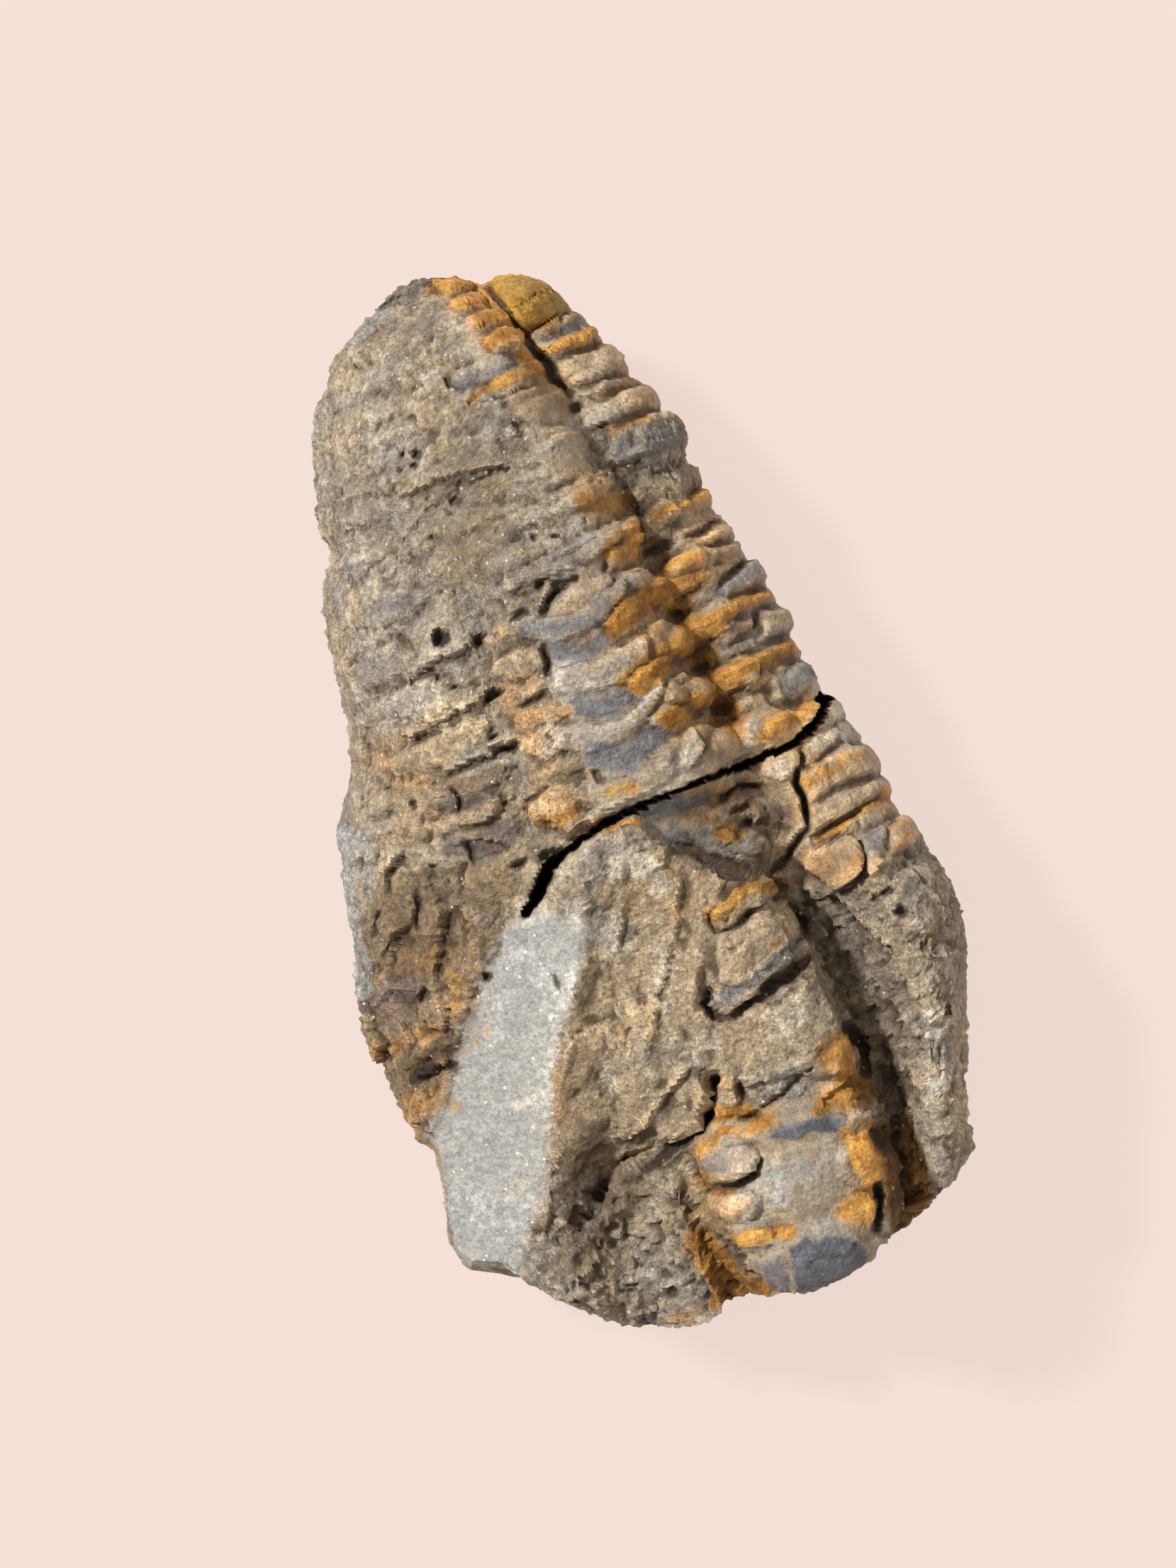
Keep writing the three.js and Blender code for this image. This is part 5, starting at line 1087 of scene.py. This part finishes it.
def stain_and_light_masks(points, seen, depth, bare):
    """Strength of each stain and wash, painted light and shade among them, at each point."""
    wander = [0.9 * rough_noise(points, 3.4, seed, 4) + 0.35 * rough_noise(points, 0.8, seed + 5, 2)
              for seed in (161, 171)]
    x, y = seen[:, 0] + wander[0], seen[:, 1] + 0.7 * wander[1]
    reach = (1 - rise(*STAINS_END, depth + 0.12 * wander[0])) * bare
    masks = {name: painted(strokes, x, y, 0.45, 1.45) for name, strokes in STAINS_AND_PAINTED_LIGHT.items()}
    for outline, _, _, _, name, strength in PLATES:
        mask = strength * plate_share(outline, x, y, 0.9)
        masks[name] = np.maximum(masks.get(name, np.zeros(x.shape)), mask)
    masks = {name: mask * reach for name, mask in masks.items()}
    masks.update({name: painted(strokes, x, y, 0.2, 1.3) for name, strokes in WASHES_AND_PAINTED_LIGHT.items()})
    return masks


def main_skin():
    """Rings of the skin with its main forms only (rings, columns, 3), and the depth at each point."""
    rows, depth_of_column = skin_rows()
    rings = np.concatenate([end_rings(TAIL_POLE, rows[0]), rows, end_rings(HEAD_POLE, rows[-1])[::-1]])
    end = np.zeros(rings.shape[:2])
    end[:END_RINGS] = np.linspace(1, 0.05, END_RINGS)[:, None]
    end[-END_RINGS:] = np.linspace(0.05, 1, END_RINGS)[:, None]
    return rings, np.maximum(depth_of_column, end)


def make_fossil():
    """The whole stone: main forms, relief, grit and cracks, and the shares that colour it."""
    rings, depth = main_skin()
    count, columns = depth.shape
    depth = np.append(depth.ravel(), [1, 1])
    points = np.vstack([rings.reshape(-1, 3), [TAIL_POLE], [HEAD_POLE]])
    faces = grid_faces(count, columns)
    smooth = build_mesh(points, faces)
    normals = normals_of(smooth)
    bpy.data.meshes.remove(smooth)

    on_top = 1 - rise(0, TOP_ENDS, depth)
    ragged = [0.26 * rough_noise(points, 1.6, seed, 3) + 0.15 * rough_noise(points, 0.6, seed + 8, 2)
              for seed in (5, 6)]
    seen = as_seen(points)
    x, y = seen[:, 0] + ragged[0], seen[:, 1] + ragged[1]

    zones = zone_weights(x, y, on_top, normals[:, 2])
    # the shell ends at a ragged line on the walls, and rock goes on below it
    waver = 0.16 * rough_noise(points, 7, 201) + 0.05 * rough_noise(points, 1.6, 211)
    bare = 1 - rise(*SHELL_ENDS, depth + waver)
    zones["shell"] = zones["shell"] * bare
    fade = (1 - 0.4 * rise(0.2, 0.6, depth)) * bare
    uneven = 0.65 + 0.35 * rough_noise(points, 4, 111)
    fine = grit(points, zones, depth)
    lift = relief(x, y, on_top, uneven) * fade + fine - fine.mean() - GRIT_DROP
    lift = lift * rise(0, FOOT, points[:, 2])
    moved = points + normals * lift[:, None]
    torn = [0.22 * rough_noise(points, 0.7, seed, 2) for seed in (7, 9)]
    drop = sunk(seen[:, 0] + torn[0], seen[:, 1] + torn[1]) * on_top
    moved[:, 2] -= drop
    moved = np.clip(moved, np.array(CAD_BOX[0]) / MM + INSIDE, np.array(CAD_BOX[1]) / MM - INSIDE)

    level = (lift - drop)[:-2].reshape(count, columns)
    cavity = np.append((level - blurred(level, CAVITY_STEPS)).ravel(), [0, 0])
    mesh = build_mesh(moved * MM, faces)
    masks = stain_and_light_masks(points, seen, depth, bare)
    zone_stains = dict(
        shell=zones["shell"], fresh=zones["facet"], tan=0.8 * zones["slab"], brown=zones["brown"])
    for name, share in zone_stains.items():
        masks[name] = np.maximum(masks.get(name, 0), share)
    # shares for the painted shade in hollows and cracks, and for the painted highlight on raised edges
    masks["cavity"] = np.clip(0.5 + cavity / CAVITY_SPAN, 0, 1)
    masks["deep"] = np.clip(drop / DEEP_SPAN, 0, 1)
    for name, values in masks.items():
        mesh.attributes.new(name, "FLOAT", "POINT").data.foreach_set("value", values.astype(np.float32))
    mesh.shade_smooth()
    mesh.set_sharp_from_angle(angle=CREASE)
    fossil = bpy.data.objects.new("trilobite_fossil_skin", mesh)
    bpy.context.collection.objects.link(fossil)
    return fossil


# ---------------------------------------------------------------- materials
def linear(red, green, blue):
    """A colour given in everyday 0 to 255 steps, as the shader wants it."""
    return tuple(((c / 255 + 0.055) / 1.055) ** 2.4 for c in (red, green, blue)) + (1,)


MATRIX_DARK = linear(134, 118, 100)
MATRIX_COOL = linear(162, 152, 138)
MATRIX_WARM = linear(184, 163, 134)
MATRIX_LIGHT = linear(206, 193, 172)
# Stains and painted light in the order they are laid on: colour, colour of the deeper patches, and how far
# they cover
INKS_AND_PAINTED_LIGHT = dict(
    brown=(linear(166, 140, 106), linear(118, 98, 74), 0.75),
    tan=(linear(194, 172, 142), linear(164, 142, 112), 0.85),
    fresh=(linear(171, 170, 163), linear(152, 154, 152), 0.85),
    pale=(linear(214, 204, 188), linear(188, 178, 162), 0.85),
    purple=(linear(138, 118, 108), linear(108, 90, 84), 0.85),
    # pale grey rock, with a painted highlight on lit edges
    blue=(linear(130, 132, 134), linear(98, 100, 108), 0.8),
    pale_grey_and_highlight=(linear(200, 200, 196), linear(168, 168, 166), 0.85),
    orange=(linear(226, 188, 142), linear(192, 146, 96), 0.8),
    ochre=(linear(196, 145, 64), linear(156, 103, 34), 0.92),
    # amber: a deeper ochre, mostly on ring slopes facing away from the light, so ochre with painted shade in
    # it
    amber=(linear(188, 134, 56), linear(150, 97, 26), 0.95),
    yellow=(linear(178, 140, 60), linear(144, 104, 32), 0.95),
    slate=(linear(112, 114, 119), linear(86, 88, 96), 0.95),
    # dark: painted shade in pits, furrows and valleys
    dark=(linear(62, 46, 34), linear(46, 34, 24), 0.85),
)
TINTS = dict(rusty=(0.98, 0.76, 0.46, 1), bluish=(0.68, 0.73, 0.80, 1))
LIGHTS = dict(shaded=(0.42, 0.34, 0.26, 1), lit=(1.45, 1.42, 1.36, 1))
SHELL_WARM = linear(176, 150, 116)
SHELL_GREY = linear(170, 161, 146)
# painted shade for hollows and cracks, and a painted highlight for raised edges
HOLLOW_SHADE = linear(84, 64, 46)
CRACK_SHADE = linear(62, 46, 34)
EDGE_HIGHLIGHT = (1.36, 1.33, 1.26, 1)
SPARKLE = linear(240, 236, 226)
SPARKLE_ABOVE = 0.972  # share of the grains that stay dull
SPARKLE_RADIUS = 0.34  # of a bright grain, in cells
BUMP_DEPTH = 0.6 * MM


class Nodes:
    """Short names for the shader nodes of one material."""

    def __init__(self, material):
        material.use_nodes = True
        self.tree = material.node_tree
        self.shader = self.tree.nodes["Principled BSDF"]
        self.place = self.tree.nodes.new("ShaderNodeTexCoord").outputs["Object"]

    def link(self, source, socket):
        self.tree.links.new(source, socket)

    def fill(self, socket, value):
        if isinstance(value, bpy.types.NodeSocket):
            self.link(value, socket)
        else:
            socket.default_value = value

    def attribute(self, name):
        node = self.tree.nodes.new("ShaderNodeAttribute")
        node.attribute_name = name
        return node.outputs["Fac"]

    def noise(self, size_mm, detail=3.0, rough=0.55, stretch=(1, 1, 1)):
        node = self.tree.nodes.new("ShaderNodeTexNoise")
        node.inputs["Scale"].default_value = 1
        node.inputs["Detail"].default_value = detail
        node.inputs["Roughness"].default_value = rough
        scale = self.tree.nodes.new("ShaderNodeVectorMath")
        scale.operation = "MULTIPLY"
        scale.inputs[1].default_value = [s / (size_mm * MM) for s in stretch]
        self.link(self.place, scale.inputs[0])
        self.link(scale.outputs[0], node.inputs["Vector"])
        return node.outputs["Fac"]

    def cells(self, size_mm, output="Distance"):
        node = self.tree.nodes.new("ShaderNodeTexVoronoi")
        node.inputs["Scale"].default_value = 1 / (size_mm * MM)
        self.link(self.place, node.inputs["Vector"])
        return node.outputs[output]

    def maths(self, operation, a, b=0.0, clamp=False):
        node = self.tree.nodes.new("ShaderNodeMath")
        node.operation = operation
        node.use_clamp = clamp
        self.fill(node.inputs[0], a)
        self.fill(node.inputs[1], b)
        return node.outputs[0]

    def between(self, value, low, high, to_low=0.0, to_high=1.0):
        node = self.tree.nodes.new("ShaderNodeMapRange")
        node.interpolation_type = "SMOOTHSTEP"
        self.fill(node.inputs["Value"], value)
        for name, number in (("From Min", low), ("From Max", high), ("To Min", to_low), ("To Max", to_high)):
            node.inputs[name].default_value = number
        return node.outputs[0]

    def mix(self, share, a, b, blend="MIX"):
        node = self.tree.nodes.new("ShaderNodeMix")
        node.data_type = "RGBA"
        node.blend_type = blend
        self.fill(node.inputs[0], share)
        self.fill(node.inputs[6], a)
        self.fill(node.inputs[7], b)
        return node.outputs[2]


def tinted(n, colour, tints, ragged):
    """The colour multiplied by each tint where its wash lies; the LIGHTS tints are painted light and painted
    shade.
    """
    for name, tint in tints.items():
        share = n.maths("MULTIPLY", n.attribute(name), n.between(ragged, 0.3, 0.6, 0.35, 1.1), clamp=True)
        colour = n.mix(share, colour, n.mix(1.0, colour, tint, "MULTIPLY"))
    return colour


def stone_material():
    """Rock and worn shell: stains, painted light and shade, painted shade in hollows and cracks, painted
    highlights on raised edges, glints, gloss and bumps.
    """
    material = bpy.data.materials.new("siltstone")
    n = Nodes(material)
    cloud = n.noise(6, 4)
    patches = n.noise(2.4, 4, 0.6)
    speck = n.noise(0.5, 4, 0.7)
    dust = n.noise(0.2, 2, 0.6)
    ragged = n.noise(1.0, 5, 0.7)
    shell = n.attribute("shell")

    colour = n.mix(n.between(cloud, 0.38, 0.62), MATRIX_COOL, MATRIX_WARM)
    colour = n.mix(n.between(patches, 0.45, 0.7, 0, 0.8), colour, MATRIX_LIGHT)
    colour = n.mix(n.between(patches, 0.5, 0.3, 0, 0.7), colour, MATRIX_DARK)
    worn = n.mix(n.between(cloud, 0.4, 0.6), SHELL_WARM, SHELL_GREY)
    colour = n.mix(n.maths("MULTIPLY", shell, 0.8), colour, worn)
    edge = n.maths("SUBTRACT", ragged, 0.5)
    colour = tinted(n, colour, TINTS, ragged)
    for name, (light, deep, cover) in INKS_AND_PAINTED_LIGHT.items():
        share = n.maths("ADD", n.attribute(name), n.maths("MULTIPLY", edge, 1.3))
        share = n.between(share, 0.2, 0.85, 0, cover)
        ink = n.mix(n.between(patches, 0.35, 0.65), light, deep)
        colour = n.mix(share, colour, ink)
    # painted light and painted shade, laid over the stains
    colour = tinted(n, colour, LIGHTS, ragged)
    # mottling within every colour, fine and coarse
    value = n.maths("ADD", n.between(speck, 0.3, 0.7, 0.63, 1.3), n.between(dust, 0.3, 0.7, -0.22, 0.22))
    value = n.maths("MULTIPLY", value, n.between(n.noise(1.3, 4, 0.65), 0.3, 0.7, 0.81, 1.19))
    fresh = n.attribute("fresh")
    calm = n.maths("MULTIPLY", n.between(fresh, 0, 1, 1, 0.65), n.between(shell, 0, 1, 1, 0.8))
    value = n.maths("ADD", n.maths("MULTIPLY", n.maths("SUBTRACT", value, 1), calm), 1)
    grey = n.tree.nodes.new("ShaderNodeCombineColor")
    for socket in grey.inputs:
        n.link(value, socket)
    colour = n.mix(1.0, colour, grey.outputs[0], "MULTIPLY")
    # painted shade darkens the hollows, and a painted highlight makes raised edges pale
    cavity = n.attribute("cavity")
    colour = n.mix(n.between(cavity, 0.48, 0.12, 0, 0.78), colour, HOLLOW_SHADE)
    highlighted = n.mix(1.0, colour, EDGE_HIGHLIGHT, "MULTIPLY")
    colour = n.mix(n.between(cavity, 0.55, 0.85, 0, 1), colour, highlighted)
    # cracks darkened with painted shade, the more the deeper
    colour = n.mix(n.between(n.attribute("deep"), 0.15, 0.7, 0, 0.85), colour, CRACK_SHADE)
    # scattered bright grains, painted white as glints
    grain = n.cells(0.42, "Color")
    pick = n.tree.nodes.new("ShaderNodeSeparateColor")
    n.link(grain, pick.inputs[0])
    bright = n.maths("GREATER_THAN", pick.outputs[0], SPARKLE_ABOVE)
    near = n.maths("LESS_THAN", n.cells(0.42), SPARKLE_RADIUS)
    glint = n.maths("MULTIPLY", bright, near)
    glint = n.maths("MULTIPLY", glint, n.between(shell, 0.2, 0.8, 0.8, 0.15))
    colour = n.mix(glint, colour, SPARKLE)
    n.link(colour, n.shader.inputs["Base Color"])

    gloss = n.maths("ADD", n.between(shell, 0, 1, 0.82, 0.6), n.between(speck, 0.3, 0.7, -0.08, 0.08))
    gloss = n.maths("SUBTRACT", gloss, n.maths("MULTIPLY", glint, 0.4))
    n.link(gloss, n.shader.inputs["Roughness"])
    n.shader.inputs["Specular IOR Level"].default_value = 0.4

    pebbly = n.maths("MULTIPLY", n.cells(0.45), -0.5)
    height = n.maths("ADD", n.maths("MULTIPLY", n.noise(0.55, 5, 0.75), 1.5), pebbly)
    bump = n.tree.nodes.new("ShaderNodeBump")
    n.link(height, bump.inputs["Height"])
    strength = n.maths("MULTIPLY", n.between(shell, 0, 1, 0.95, 0.6), n.between(fresh, 0, 1, 1, 0.6))
    n.link(strength, bump.inputs["Strength"])
    bump.inputs["Distance"].default_value = BUMP_DEPTH
    n.link(bump.outputs[0], n.shader.inputs["Normal"])
    return material


def floor_material():
    """Plain and pale, with a soft glow of its own."""
    material = bpy.data.materials.new("pale_floor")
    n = Nodes(material)
    n.shader.inputs["Base Color"].default_value = FLOOR_COLOUR
    n.shader.inputs["Emission Color"].default_value = FLOOR_GLOW_COLOUR
    n.shader.inputs["Emission Strength"].default_value = FLOOR_GLOW
    n.shader.inputs["Roughness"].default_value = 0.9
    n.shader.inputs["Specular IOR Level"].default_value = 0.1
    return material


# ---------------------------------------------------------------- stage
FLOOR_SIZE = 4.0
FLOOR_COLOUR = linear(80, 73, 70)
FLOOR_GLOW_COLOUR = linear(231, 211, 203)
FLOOR_GLOW = 1.0  # the floor is a softly lit table, so the shadow on it stays pale
CAMERA_TURN = math.radians(19)  # the stone's long axis leans to the right in the picture
FOCAL_LENGTH = 102.08  # mm, as is the sensor's width
SENSOR = 36.0
SUN_FROM = (-0.46, 0.52, 0.72)
SUN_STRENGTH = 4.0
SUN_SPREAD = math.radians(7)
SKY_STRENGTH = 0.62
SKY_COLOUR = (1.0, 0.97, 0.94, 1)


def make_stage():
    """Floor, sky, sun and camera."""
    bpy.ops.mesh.primitive_plane_add(size=FLOOR_SIZE)
    floor = bpy.context.object
    floor.name = "floor"
    floor.data.materials.append(floor_material())

    world = bpy.data.worlds.new("studio")
    world.use_nodes = True
    background = world.node_tree.nodes["Background"]
    background.inputs[0].default_value = SKY_COLOUR
    background.inputs[1].default_value = SKY_STRENGTH
    bpy.context.scene.world = world

    sun = bpy.data.lights.new("sun", "SUN")
    sun.energy = SUN_STRENGTH
    sun.angle = SUN_SPREAD
    lamp = bpy.data.objects.new("sun", sun)
    lamp.rotation_euler = Vector(SUN_FROM).to_track_quat("Z", "Y").to_euler()
    bpy.context.collection.objects.link(lamp)

    camera = bpy.data.cameras.new("camera")
    camera.lens = FOCAL_LENGTH
    camera.sensor_width = SENSOR
    eye = bpy.data.objects.new("camera", camera)
    eye.location = [c * MM for c in EYE]
    eye.rotation_euler = (0, 0, -CAMERA_TURN)
    bpy.context.collection.objects.link(eye)
    bpy.context.scene.camera = eye
    bpy.context.scene.view_settings.view_transform = "Standard"


make_stage()
fossil = make_fossil()
fossil.data.materials.append(stone_material())
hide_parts("trilobite_fossil")
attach(fossil, "root")
